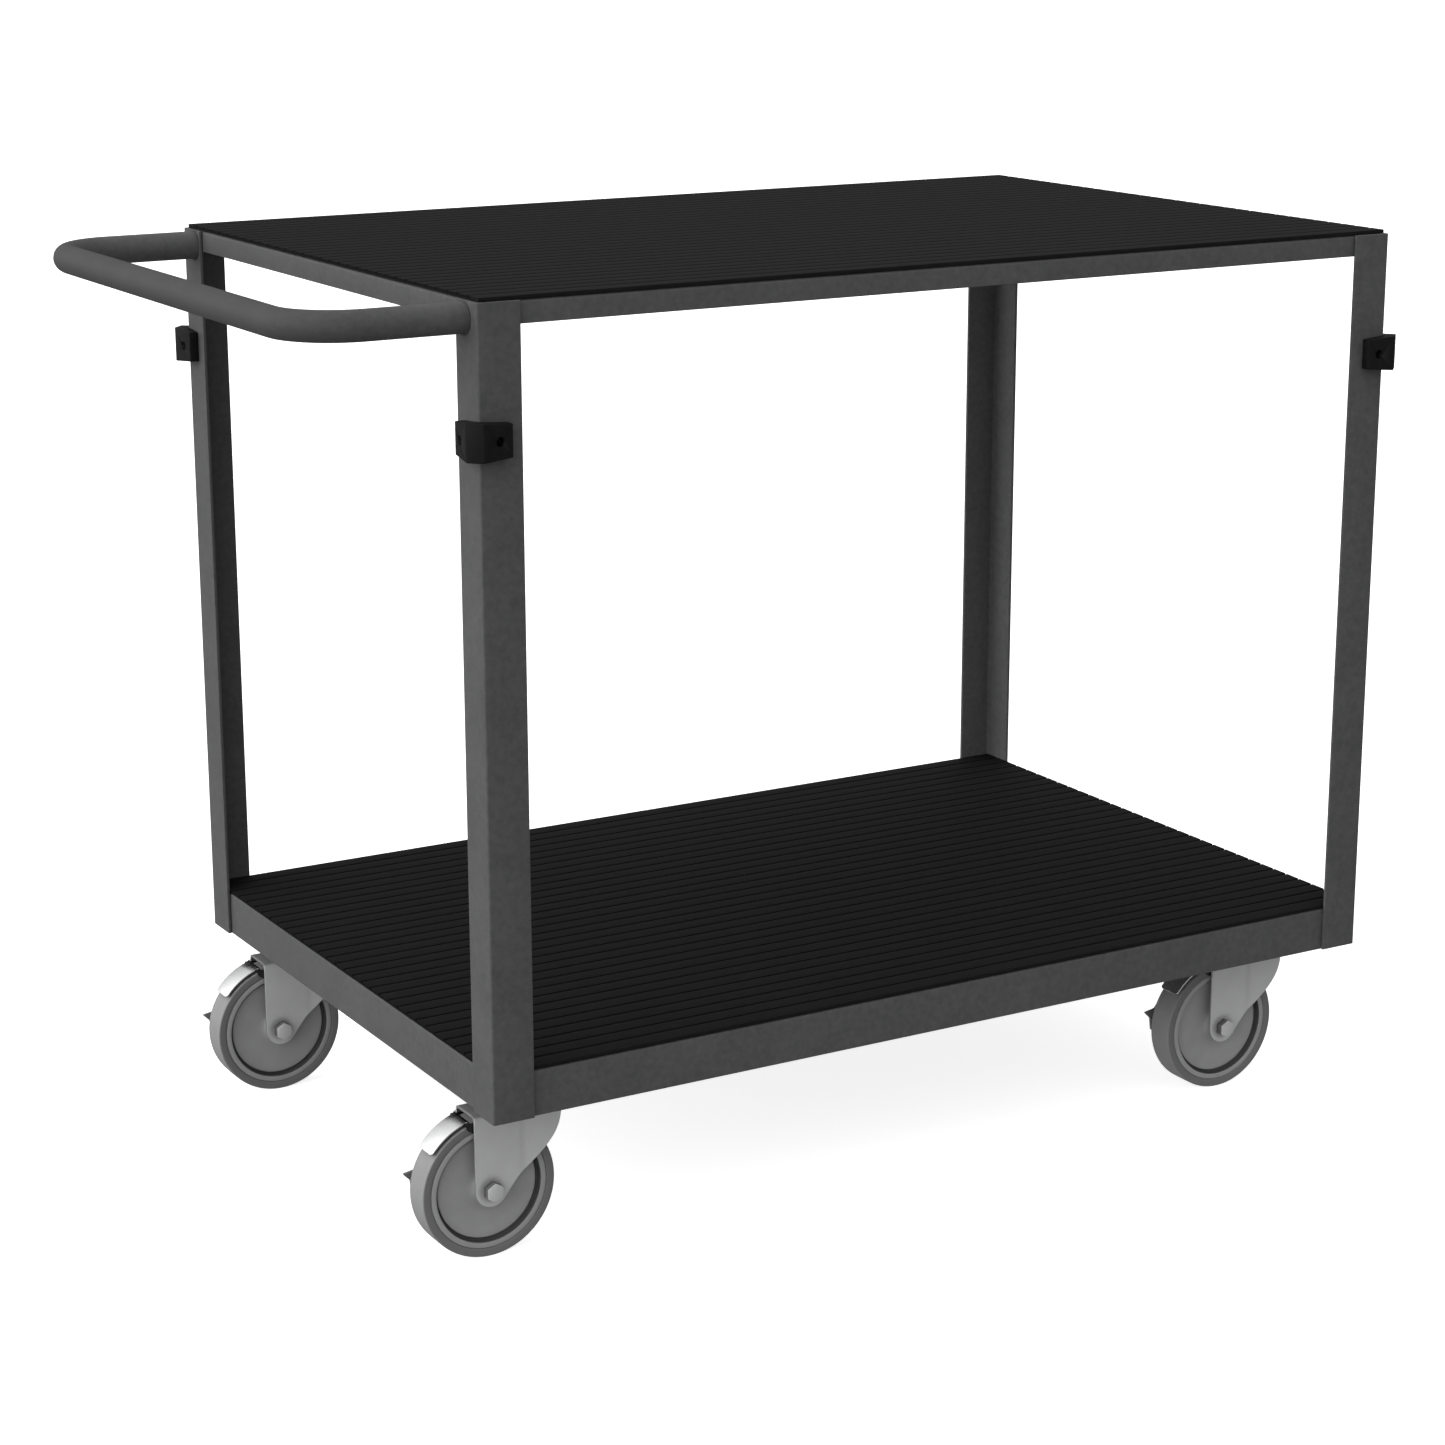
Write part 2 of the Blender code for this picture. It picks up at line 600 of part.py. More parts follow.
def lever_mesh():
    """A flat lever on the pin's left end. Its toe stands out past the tyre."""
    x, z = PIVOT
    outline = [(x - 0.0060, z + 0.0045), (x, z + 0.0065), (x + 0.0055, z + 0.0035), (x + 0.0060, z - 0.0040),
               (x - 0.0010, z - 0.0100), (-0.0360, 0.0220), (-0.0470, -0.0020), (-0.0570, -0.0060),
               (-0.0585, 0.0075), (-0.0655, 0.0145), (-0.0535, 0.0165), (-0.0420, 0.0300)]
    return moved(prism("release_lever", outline, *LEVER_FACES, "Y"), (-x, 0, -z))


def moved(mesh, offset):
    for vertex in mesh.vertices:
        vertex.co = [a + b for a, b in zip(vertex.co, offset)]
    mesh.shade_smooth()
    mesh.set_sharp_from_angle(angle=SHARP)
    return mesh


def build_frame(looks):
    for corner, (sx, sy) in CORNERS.items():
        place(f"post_{corner}", post_mesh(sx, sy), looks["powder_coat"])
        place(f"bumper_{corner}", bumper_mesh(sx, sy), looks["bumper"])
    for level, deck_z, skirt in (("top", TOP_DECK_Z, TOP_SKIRT), ("lower", LOWER_DECK_Z, LOWER_SKIRT)):
        place(f"{level}_shelf", pan_mesh(f"{level}_shelf", deck_z, skirt), looks["powder_coat"])
        place(f"{level}_mat", mat_mesh(f"{level}_mat", deck_z), looks["mat"])
    place("push_handle", handle_mesh(), looks["powder_coat"])
    for end, sx in (("rear", -1), ("front", 1)):
        place(f"caster_channel_{end}", channel_mesh(sx), looks["powder_coat"])


def build_casters(looks):
    """Four casters alike, sharing their meshes. Each wheel trails behind its kingpin."""
    plate, kingpin, balls, fork = top_plate_mesh(), kingpin_mesh(), ball_ring_mesh(), fork_mesh()
    bolt, nut, sleeve = axle_bolt_mesh(), axle_nut_mesh(), sleeve_mesh()
    hub, tyre, pedal, lever = hub_mesh(), tyre_mesh(), pedal_mesh(), lever_mesh()
    for corner, (sx, sy) in CORNERS.items():
        swivel = empty(f"swivel_axis_{corner}", (CART_X + sx * CASTER_X, sy * CASTER_Y, 0))
        axle = empty(f"axle_axis_{corner}", (-TRAIL, 0, WHEEL_RADIUS), swivel)
        pivot = empty(f"brake_axis_{corner}", (PIVOT[0], 0, PIVOT[1]), axle)
        place(f"caster_plate_{corner}", plate, looks["zinc"], swivel)
        place(f"kingpin_{corner}", kingpin, looks["zinc"], swivel)
        place(f"swivel_balls_{corner}", balls, looks["steel"], swivel)
        place(f"fork_{corner}", fork, looks["zinc"], axle)
        place(f"axle_bolt_{corner}", bolt, looks["zinc"], axle)
        place(f"axle_nut_{corner}", nut, looks["zinc"], axle)
        place(f"axle_sleeve_{corner}", sleeve, looks["steel"], axle)
        place(f"wheel_hub_{corner}", hub, looks["hub"], axle)
        place(f"tyre_{corner}", tyre, looks["tyre"], axle)
        place(f"brake_pedal_{corner}", pedal, looks["chrome"], pivot)
        place(f"release_lever_{corner}", lever, looks["zinc"], pivot)


def main():
    clear_scene()
    looks = {
        "powder_coat": make_material("powder_coat", (0.085, 0.085, 0.087), 0.6, 0.0),
        "mat": make_material("mat", (0.012, 0.012, 0.012), 0.75, 0.0),
        "bumper": make_material("bumper", (0.010, 0.010, 0.010), 0.6, 0.0),
        "zinc": make_material("zinc", (0.42, 0.42, 0.43), 0.45, 0.8),
        "steel": make_material("steel", (0.55, 0.55, 0.56), 0.3, 1.0),
        "chrome": make_material("chrome", (0.80, 0.80, 0.81), 0.12, 1.0),
        "hub": make_material("hub", (0.22, 0.22, 0.225), 0.5, 0.0),
        "tyre": make_material("tyre", (0.16, 0.16, 0.162), 0.7, 0.0),
    }
    build_frame(looks)
    build_casters(looks)


main()
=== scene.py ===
"""Looks of the rolling utility cart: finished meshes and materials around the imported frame.

Metres, +Z up. The push handle is at -X, the rear, and +Y is the cart's left.
"""

import json
import math

import bmesh
import bpy
from mathutils import Matrix, Vector


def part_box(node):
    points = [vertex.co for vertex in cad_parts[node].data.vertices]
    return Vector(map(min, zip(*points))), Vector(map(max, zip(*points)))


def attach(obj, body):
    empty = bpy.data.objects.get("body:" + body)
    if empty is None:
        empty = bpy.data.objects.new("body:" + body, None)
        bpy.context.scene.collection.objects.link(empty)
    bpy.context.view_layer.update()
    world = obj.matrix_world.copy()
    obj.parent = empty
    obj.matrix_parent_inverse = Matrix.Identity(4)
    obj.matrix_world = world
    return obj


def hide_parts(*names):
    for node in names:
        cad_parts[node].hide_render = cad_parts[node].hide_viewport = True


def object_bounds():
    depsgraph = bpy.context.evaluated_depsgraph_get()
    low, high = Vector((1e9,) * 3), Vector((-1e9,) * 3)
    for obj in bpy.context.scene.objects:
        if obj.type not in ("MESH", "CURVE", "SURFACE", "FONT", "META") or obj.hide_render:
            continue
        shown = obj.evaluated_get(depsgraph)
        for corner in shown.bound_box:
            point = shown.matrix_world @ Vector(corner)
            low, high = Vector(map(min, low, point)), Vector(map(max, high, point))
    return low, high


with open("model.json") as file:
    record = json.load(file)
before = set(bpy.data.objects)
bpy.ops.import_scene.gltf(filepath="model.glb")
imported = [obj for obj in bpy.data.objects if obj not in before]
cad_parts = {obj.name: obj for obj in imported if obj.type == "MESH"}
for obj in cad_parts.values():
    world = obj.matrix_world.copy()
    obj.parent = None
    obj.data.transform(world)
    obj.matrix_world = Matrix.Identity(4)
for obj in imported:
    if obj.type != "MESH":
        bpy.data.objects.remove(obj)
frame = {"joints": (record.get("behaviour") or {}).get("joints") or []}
cad_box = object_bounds()

MM = 0.001
INCH = 0.0254
CORNERS = {
    "rear_right": (-1, -1),
    "rear_left": (-1, 1),
    "front_right": (1, -1),
    "front_left": (1, 1),
}

# Frame
POST_THICKNESS = 0.125 * INCH
POST_CORNER = 2.0 * MM
POST_FILLET = 3.0 * MM
POST_TOE = 1.2 * MM
SHEET = 2.0 * MM
BEND = 3.0 * MM
PAN_CORNER = 4.6 * MM
RIB_PITCH = 0.75 * INCH
GROOVE = (2.2 * MM, 1.4 * MM)  # width and depth
TUBE_RADIUS = 0.5 * INCH
HANDLE_BEND = 2.125 * INCH
BUMPER_THICKNESS = (12.3 * MM, 8.5 * MM)  # at the corner and at the ends
BUMPER_HEIGHT = (31.5 * MM, 27.0 * MM)  # at the corner and at the ends
BUMPER_LEG = 25.5 * MM
BUMPER_CHAMFER_START = 2.0 * MM  # past the post's corner, on both outer faces
SCREW_INSET = 13.5 * MM
COUNTERBORE = (4.1 * MM, 5.0 * MM)  # radius, and height of its floor above the post
CHANNEL_WALL = 2.7 * MM
PLATE_SHEET = 3.5 * MM
PLATE_BOLT = (29 * MM, 42 * MM)  # from the swivel, along the cart and across it
HANDLE_BEAD = 1.2 * MM
SHELF_BEAD = 1.6 * MM
BEAD_OFFSET = 0.3 * MM  # how far a bead's middle lies off the end or edge that it follows

# Caster, measured from the axle
FORK_HALF = 18.5 * MM
FORK_SHEET = 2.5 * MM
FORK_BEND = 5.0 * MM
CROWN = 69.0 * MM
LOBE = 15.0 * MM
CREASE_X = 28.0 * MM
FLARE = math.tan(math.radians(6))
# The fork's front edge in mm, as (height, distance in front of the axle)
FORK_FRONT = [(-8.5, 12.4), (9.0, 26.5), (20.0, 39.5), (30.5, 50.5), (41.5, 59.0), (53.0, 63.8), (69.0, 66.0)]
PEDAL_RADIUS = 64.8 * MM
PEDAL_SHEET = 2.0 * MM
PEDAL_HALF_WIDTH = 12.5 * MM
PEDAL_SPAN = (math.radians(106), math.radians(143))
PEDAL_NECK = math.radians(1.4)  # the blade's top, which widens to its ears
PEDAL_SHOULDER = math.radians(0.8)  # the part of the neck that widens
PEDAL_CORNER = 3.5 * MM
PEDAL_CROWN = 0.5 * MM
EAR = (13.9 * MM, 15.4 * MM)  # its inner and outer face
PIN_RADIUS = 2.6 * MM
BALLS = 15
BALL_RADIUS = 3.0 * MM
BALL_CIRCLE = 15.5 * MM

# Shading
SHARP = math.radians(32)  # edges sharper than this stay crisp
CREASED = 50  # degrees, above which bevels round an edge

# Light, as radiance where white is 1
FILL = 0.15
# Each light's direction, its brightness and how narrow it is
SOFT_LIGHTS = [((-1, 0.12, -0.08), 3.3, 2.0), ((0, -0.1, 1), 0.92, 1.0)]
FLOOR_GLOW = 0.78
FLOOR_BOUNCE = (0.1, 0.24)  # how much the cart sees the floor reflect, and how much of a glow

# Camera, at the photo's viewing angle
LENS = 81.53
CAMERA_PLACE = (-1.4981, -2.5825, 1.1635)
CAMERA_TURN = (75.081, 0.112, -30.259)  # degrees

JOINTS = {joint["name"]: Vector(joint["pos_m"]) for joint in frame["joints"]}
PLACED = {  # two coordinates across an axis and one along it, as a point
    "X": lambda u, v, h: (h, u, v),
    "Y": lambda u, v, h: (u, h, v),
    "Z": lambda u, v, h: (u, v, h),
}


# Materials: every pattern is laid out in the piece's own coordinates, in metres.

class Look:
    """A Principled material and short ways to add its nodes."""

    def __init__(self, name, roughness, metallic=0.0, specular=0.5):
        self.material = bpy.data.materials.new(name)
        self.material.use_nodes = True
        self.tree = self.material.node_tree
        self.shader = self.tree.nodes["Principled BSDF"]
        self.shader.inputs["Roughness"].default_value = roughness
        self.shader.inputs["Metallic"].default_value = metallic
        self.shader.inputs["Specular IOR Level"].default_value = specular
        self.place = self.tree.nodes.new("ShaderNodeTexCoord").outputs["Object"]

    def link(self, source, target):
        self.tree.links.new(source, target)

    def stretched(self, scale):
        """The coordinates, multiplied along each axis."""
        mapping = self.tree.nodes.new("ShaderNodeMapping")
        mapping.inputs["Scale"].default_value = scale
        self.link(self.place, mapping.inputs["Vector"])
        return mapping.outputs["Vector"]

    def noise(self, size, detail=2.0, rough=0.5, along=(1, 1, 1)):
        """Noise whose features are about size metres across."""
        node = self.tree.nodes.new("ShaderNodeTexNoise")
        node.inputs["Scale"].default_value = 1 / size
        node.inputs["Detail"].default_value = detail
        node.inputs["Roughness"].default_value = rough
        self.link(self.stretched(along), node.inputs["Vector"])
        return node.outputs["Fac"]

    def attribute(self, name):
        """A value that the mesh itself holds."""
        node = self.tree.nodes.new("ShaderNodeAttribute")
        node.attribute_name = name
        return node.outputs["Fac"]

    def spread(self, source, low, high, start=0.3, end=0.7):
        """The source from start to end turned into values from low to high."""
        node = self.tree.nodes.new("ShaderNodeMapRange")
        for name, value in (("From Min", start), ("From Max", end), ("To Min", low), ("To Max", high)):
            node.inputs[name].default_value = value
        self.link(source, node.inputs["Value"])
        return node.outputs["Result"]

    def mixed(self, factor, first, second):
        """Colour first where the factor is 0 and second where it is 1."""
        node = self.tree.nodes.new("ShaderNodeMix")
        node.data_type = "RGBA"
        self.link(factor, node.inputs["Factor"])
        for socket, colour in ((node.inputs["A"], first), (node.inputs["B"], second)):
            if isinstance(colour, tuple):
                socket.default_value = (*colour, 1)
            else:
                self.link(colour, socket)
        return node.outputs["Result"]

    def with_shade_and_grime(self, unshaded, dark):
        """The unshaded colour, turned dark as far as the mesh's stored darkness says; that darkness is mostly
        painted shade.
        """
        return self.mixed(self.attribute("shade_and_grime"), unshaded, dark)

    def total(self, *parts):
        """The sum of several values, each multiplied by its weight."""
        whole = None
        for source, weight in parts:
            node = self.tree.nodes.new("ShaderNodeMath")
            node.operation = "MULTIPLY_ADD"
            self.link(source, node.inputs[0])
            node.inputs[1].default_value = weight
            node.inputs[2].default_value = 0.0
            if whole:
                self.link(whole, node.inputs[2])
            whole = node.outputs["Value"]
        return whole

    def colour(self, source):
        self.link(source, self.shader.inputs["Base Color"])

    def roughness(self, source):
        self.link(source, self.shader.inputs["Roughness"])

    def bump(self, height, distance, strength=1.0):
        """Relief whose height of 1 is distance metres."""
        node = self.tree.nodes.new("ShaderNodeBump")
        node.inputs["Distance"].default_value = distance
        node.inputs["Strength"].default_value = strength
        self.link(height, node.inputs["Height"])
        self.link(node.outputs["Normal"], self.shader.inputs["Normal"])


def grey(value, tint=0.0):
    """A grey that leans to blue by tint."""
    return (value * (1 - tint), value, value * (1 + tint))


def powder_coat_look():
    """Dark grey powder: orange peel, a fine mottle and faint clouds."""
    look = Look("powder_coat_finish", 0.6, specular=0.15)
    clouds = look.noise(0.045, 3)
    mottle = look.noise(0.0060, 3, 0.6)
    grain = look.noise(0.0011, 2, 0.6)
    tone = look.total((clouds, 0.25), (mottle, 0.55), (grain, 0.20))
    powder = look.mixed(look.spread(tone, 0, 1, 0.36, 0.64), grey(0.074, 0.006), grey(0.101, 0.004))
    # Painted shade: the dark colour is painted on the handle's weld beads, where shade falls in the crease,
    # and the tube is darkened towards its grip.
    look.colour(look.with_shade_and_grime(powder, grey(0.025)))
    look.roughness(look.spread(look.total((mottle, 0.5), (grain, 0.5)), 0.52, 0.70))
    look.bump(look.total((look.noise(0.0016, 2), 0.7), (grain, 0.3)), 0.00012, 0.55)
    return look.material


def mat_look():
    """Black vinyl with a fine grain along the ribs and a trace of dust."""
    look = Look("mat_vinyl", 0.75, specular=0.07)
    streak = look.noise(0.0018, 3, 0.6, (0.12, 1, 1))
    grain = look.noise(0.0007, 2, 0.7)
    dust = look.noise(0.060, 4, 0.6)
    tone = look.total((streak, 0.4), (grain, 0.3), (dust, 0.3))
    ribs = look.mixed(look.spread(tone, 0, 1, 0.38, 0.62), grey(0.0060), grey(0.0115, 0.01))
    # Painted shade: the groove bottoms are darkened towards this colour.
    look.colour(look.with_shade_and_grime(ribs, grey(0.0015)))
    look.roughness(look.spread(look.total((grain, 0.5), (dust, 0.5)), 0.66, 0.84))
    look.bump(look.total((grain, 0.6), (streak, 0.4)), 0.00010, 0.6)
    return look.material


def bumper_look():
    """Moulded black rubber with a spark-eroded grain."""
    look = Look("bumper_rubber", 0.6, specular=0.10)
    grain = look.noise(0.00055, 3, 0.7)
    scuffs = look.noise(0.008, 4, 0.65)
    tone = look.total((grain, 0.5), (scuffs, 0.5))
    rubber = look.mixed(look.spread(tone, 0, 1, 0.38, 0.62), grey(0.0055), grey(0.0100))
    # Painted shade: the counterbores and their screws are darkened towards this colour.
    look.colour(look.with_shade_and_grime(rubber, grey(0.0005)))
    look.roughness(look.spread(scuffs, 0.48, 0.66))
    look.bump(grain, 0.00012, 0.6)
    return look.material


def zinc_look():
    """Matte zinc plate on pressed steel: faint clouds, a fine grain and soft drawing lines."""
    look = Look("zinc_plate", 0.5, 0.2, 0.3)
    clouds = look.noise(0.016, 3, 0.5)
    grain = look.noise(0.0008, 2, 0.6)
    lines = look.noise(0.0010, 3, 0.6, (1, 1, 0.06))
    tone = look.total((clouds, 0.5), (grain, 0.2), (lines, 0.3))
    plate = look.mixed(look.spread(tone, 0, 1, 0.36, 0.64), grey(0.58, 0.005), grey(0.62, 0.005))
    # Painted shade: the fork's inside, crown and crease, a painted shadow round its bolt, the ball races, the
    # axle bolts' flats and the levers are darkened towards this colour.
    look.colour(look.with_shade_and_grime(plate, grey(0.055)))
    look.roughness(look.spread(look.total((clouds, 0.6), (lines, 0.4)), 0.44, 0.56))
    look.bump(look.total((lines, 0.5), (grain, 0.5)), 0.00003, 0.5)
    return look.material


def steel_look():
    """Bright turned steel."""
    look = Look("turned_steel", 0.25, 1.0)
    rings = look.noise(0.0006, 3, 0.6)
    look.colour(look.mixed(rings, grey(0.48, 0.01), grey(0.60, 0.01)))
    look.roughness(look.spread(rings, 0.18, 0.34))
    look.bump(rings, 0.00002, 0.5)
    return look.material


def chrome_look():
    """Bright plated brake pedal with light handling marks."""
    look = Look("bright_plate", 0.16, 1.0)
    smears = look.noise(0.009, 4, 0.65)
    hair = look.noise(0.0006, 3, 0.7, (1, 0.05, 1))
    # Painted shade and a painted shadow: the blade's inner side, its top under the crown and the ears are
    # darkened towards this colour.
    look.colour(look.with_shade_and_grime(look.mixed(smears, grey(0.90, 0.003), grey(0.96, 0.003)), grey(0.045)))
    look.roughness(look.spread(look.total((smears, 0.6), (hair, 0.4)), 0.14, 0.32))
    look.bump(hair, 0.00002, 0.4)
    return look.material


def hub_look():
    """Moulded grey nylon, slightly cloudy, with a fine mould grain and painted shade down in its groove."""
    look = Look("hub_nylon", 0.45, specular=0.4)
    flow = look.noise(0.014, 3, 0.5)
    grain = look.noise(0.0008, 2, 0.6)
    unshaded = look.mixed(look.spread(look.total((flow, 0.7), (grain, 0.3)), 0, 1, 0.36, 0.64),
                       grey(0.330, 0.004), grey(0.358, 0.004))
    look.colour(look.with_shade_and_grime(unshaded, grey(0.075)))
    look.roughness(look.spread(flow, 0.40, 0.54))
    look.bump(grain, 0.00006, 0.5)
    return look.material


def tyre_look():
    """Grey non-marking rubber with a matte skin, its sides painted darker than the tread as painted shade."""
    look = Look("tyre_rubber", 0.65, specular=0.3)
    dust = look.noise(0.010, 5, 0.65)
    grain = look.noise(0.0006, 2, 0.7)
    tread = look.mixed(look.spread(look.total((dust, 0.6), (grain, 0.4)), 0, 1, 0.36, 0.64),
                       grey(0.245, 0.003), grey(0.280, 0.003))
    look.colour(look.with_shade_and_grime(tread, grey(0.175)))
    look.roughness(look.spread(dust, 0.56, 0.76))
    look.bump(look.total((grain, 0.7), (dust, 0.3)), 0.00010, 0.5)
    return look.material


LOOKS = {
    "powder_coat": powder_coat_look(),
    "mat": mat_look(),
    "bumper": bumper_look(),
    "zinc": zinc_look(),
    "steel": steel_look(),
    "chrome": chrome_look(),
    "hub": hub_look(),
    "tyre": tyre_look(),
}


# Shapes

def clamp(value):
    """The value, kept between 0 and 1."""
    return min(1, max(0, value))


def circle(sides):
    """The angles of points evenly round a circle."""
    return [2 * math.pi * k / sides for k in range(sides)]


def rounded(points, radius, steps=5):
    """A closed outline of (x, y) or (x, y, radius) with each corner turned into an arc."""
    made = []
    count = len(points)
    for i, point in enumerate(points):
        corner = Vector(point[:2])
        own = point[2] if len(point) > 2 else radius
        before = Vector(points[i - 1][:2]) - corner
        after = Vector(points[(i + 1) % count][:2]) - corner
        half = before.angle(after) / 2
        reach = min(own / math.tan(half), 0.49 * before.length, 0.49 * after.length) if own else 0
        if reach < 1e-6 or half > math.radians(89.5):
            made.append(tuple(corner))
            continue
        real = reach * math.tan(half)
        middle = corner + (before.normalized() + after.normalized()).normalized() * (real / math.sin(half))
        first = corner + before.normalized() * reach - middle
        last = corner + after.normalized() * reach - middle
        turn = first.angle_signed(last)
        for step in range(steps + 1):
            made.append(tuple(middle + Matrix.Rotation(-turn * step / steps, 2) @ first))
    return made


def extruded(outline, low, high, axis):
    """The outline between low and high along axis. It holds (y, z) for X, (x, z) for Y and (x, y) for Z."""
    bm = bmesh.new()
    ends = [[bm.verts.new(PLACED[axis](a, b, h)) for a, b in outline] for h in (low, high)]
    for end in ends:
        bm.faces.new(end)
    for i in range(len(outline)):
        j = (i + 1) % len(outline)
        bm.faces.new((ends[0][i], ends[0][j], ends[1][j], ends[1][i]))
    return bm


def skinned(rings, closed=False, capped=True):
    """A surface over rings of points, one vertex ring to the next. A ring of one point is a tip."""
    bm = bmesh.new()
    made = [[bm.verts.new(point) for point in ring] for ring in rings]
    pairs = list(zip(made, made[1:])) + ([(made[-1], made[0])] if closed else [])
    sides = max(len(ring) for ring in made)
    for first, second in pairs:
        for k in range(sides):
            n = (k + 1) % sides
            corners = (first[k % len(first)], first[n % len(first)],
                       second[n % len(second)], second[k % len(second)])
            bm.faces.new(list(dict.fromkeys(corners)))
    if capped and not closed:
        for ring in (made[0], made[-1]):
            if len(ring) > 2:
                bm.faces.new(ring)
    return bm


def turned(profile, axis, sides, centre=(0, 0, 0)):
    """The profile of (radius, height) turned about axis. One that starts off it is a loop round a bore."""
    place = PLACED[axis]
    rings = []
    for radius, height in profile:
        angles = circle(sides) if radius else [0]
        rings.append([Vector(place(radius * math.cos(a), radius * math.sin(a), height)) + Vector(centre)
                      for a in angles])
    return skinned(rings, closed=bool(profile[0][0]))


def swept(path, radius_at, sides, upright=(0, 0, 1)):
    """A tube along the path's points with flat ends.

    radius_at gives the radius for a share of its length, and the path lies square to upright.
    """
    rings = []
    for i, point in enumerate(path):
        along = (path[min(i + 1, len(path) - 1)] - path[max(i - 1, 0)]).normalized()
        up = Vector(upright)
        side = along.cross(up)
        radius = radius_at(i / (len(path) - 1))
        rings.append([point + (side * math.cos(a) + up * math.sin(a)) * radius for a in circle(sides)])
    return skinned(rings)


def arc(centre, radius, start, end, steps):
    """Points of (x, y) on an arc, angles in radians."""
    angles = [start + (end - start) * k / steps for k in range(steps + 1)]
    return [(centre[0] + radius * math.cos(a), centre[1] + radius * math.sin(a)) for a in angles]


def merged(*parts):
    """Several bmeshes in one, as separate bodies."""
    whole = bmesh.new()
    for part in parts:
        mesh = bpy.data.meshes.new("part")
        part.to_mesh(mesh)
        part.free()
        whole.from_mesh(mesh)
        bpy.data.meshes.remove(mesh)
    return whole


def as_object(name, bm):
    """The bmesh as an object of the scene, smooth but for its sharp edges."""
    bmesh.ops.recalc_face_normals(bm, faces=bm.faces)
    mesh = bpy.data.meshes.new(name)
    bm.to_mesh(mesh)
    bm.free()
    mesh.shade_smooth()
    mesh.set_sharp_from_angle(angle=SHARP)
    obj = bpy.data.objects.new(name, mesh)
    bpy.context.scene.collection.objects.link(obj)
    return obj


def apply_modifiers(obj):
    """The object's mesh as its modifiers leave it."""
    graph = bpy.context.evaluated_depsgraph_get()
    mesh = bpy.data.meshes.new_from_object(obj.evaluated_get(graph))
    obj.modifiers.clear()
    obj.data = mesh


def bevel(obj, width, segments=3, angle=CREASED):
    """Rounds the edges sharper than angle, in degrees."""
    modifier = obj.modifiers.new("edges", "BEVEL")
    modifier.width = width
    modifier.segments = segments
    modifier.limit_method = "ANGLE"
    modifier.angle_limit = math.radians(angle)
    modifier.harden_normals = True
    apply_modifiers(obj)


def cut(obj, tool):
    """Removes the tool's shape from the object."""
    cutter = as_object("cutter", tool)
    modifier = obj.modifiers.new("cut", "BOOLEAN")
    modifier.operation = "DIFFERENCE"
    modifier.solver = "EXACT"
    modifier.object = cutter
    apply_modifiers(obj)
    bpy.data.objects.remove(cutter, do_unlink=True)


def store_shade_and_grime(obj, shade_and_grime):
    """Stores how far each vertex is darkened, from 0 to 1, mostly as painted shade in creases, recesses and
    under other parts. Its second argument is one value or a rule for a point.
    """
    stored = obj.data.attributes.new("shade_and_grime", "FLOAT", "POINT")
    for vertex in obj.data.vertices:
        stored.data[vertex.index].value = shade_and_grime(vertex.co) if callable(shade_and_grime) else shade_and_grime


def dress(obj, body, slot, *stands_for):
    """Gives the piece the material of its slot and its body, and hides the CAD nodes it stands for."""
    obj.data.materials.clear()
    obj.data.materials.append(LOOKS[slot])
    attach(obj, body)
    if stands_for:
        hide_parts(*stands_for)


def pressed(name, grid, thickness, edge, inside):
    """Sheet metal over the grid's rows of points, its thickness laid toward the point inside."""
    bm = bmesh.new()
    lines = [[bm.verts.new(point) for point in line] for line in grid]
    for first, second in zip(lines, lines[1:]):
        for k in range(len(first) - 1):
            bm.faces.new((first[k], second[k], second[k + 1], first[k + 1]))
    obj = as_object(name, bm)
    face = max(obj.data.polygons, key=lambda polygon: (polygon.center - inside).length)
    if face.normal.dot(face.center - inside) < 0:
        obj.data.flip_normals()
    solid = obj.modifiers.new("sheet", "SOLIDIFY")
    solid.thickness = thickness
    solid.offset = -1
    solid.use_even_offset = True
    apply_modifiers(obj)
    bevel(obj, edge)
    return obj


# Frame pieces

def make_post(corner, sx, sy):
    """Rolled steel angle: a tight outer corner, a fillet inside and rounded toes."""
    name = f"post_{corner}"
    low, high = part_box(name)
    leg = high.x - low.x
    tip = 0.5 * MM
    t = POST_THICKNESS
    outline = rounded([(0, 0, POST_CORNER), (leg, 0, tip), (leg, t, POST_TOE), (t, t, POST_FILLET),
                       (t, leg, POST_TOE), (0, leg, tip)], 0)
    outer = (low.x if sx < 0 else high.x, low.y if sy < 0 else high.y)
    places = [(outer[0] - sx * u, outer[1] - sy * v) for u, v in outline]
    obj = as_object(f"{name}_angle", extruded(places, low.z, high.z, "Z"))
    bevel(obj, 0.5 * MM)
    dress(obj, "frame", "powder_coat", name)


def rectangle_ring(low, high, inset, radius, z):
    """The box's outline at height z, drawn in by inset, with round corners."""
    corners = [(low.x + inset, low.y + inset), (high.x - inset, low.y + inset),
               (high.x - inset, high.y - inset), (low.x + inset, high.y - inset)]
    return [(x, y, z) for x, y in rounded(corners, max(radius - inset, 0.4 * MM), 6)]


def make_shelf(level):
    """A pan of sheet steel with bent edges: outer skin, lip and inner skin as one closed wall."""
    name = f"{level}_shelf"
    low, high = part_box(name)
    fold = (BEND, high.z - BEND)
    lip = 0.4 * MM
    stations = arc(fold, BEND, math.pi / 2, math.pi, 6)
    stations += [(0, low.z + lip), (lip, low.z), (SHEET - lip, low.z), (SHEET, low.z + lip)]
    stations += arc(fold, BEND - SHEET, math.pi, math.pi / 2, 4)
    rings = [rectangle_ring(low, high, inset, PAN_CORNER, z) for inset, z in stations]
    dress(as_object(f"{name}_pan", skinned(rings)), "frame", "powder_coat", name)


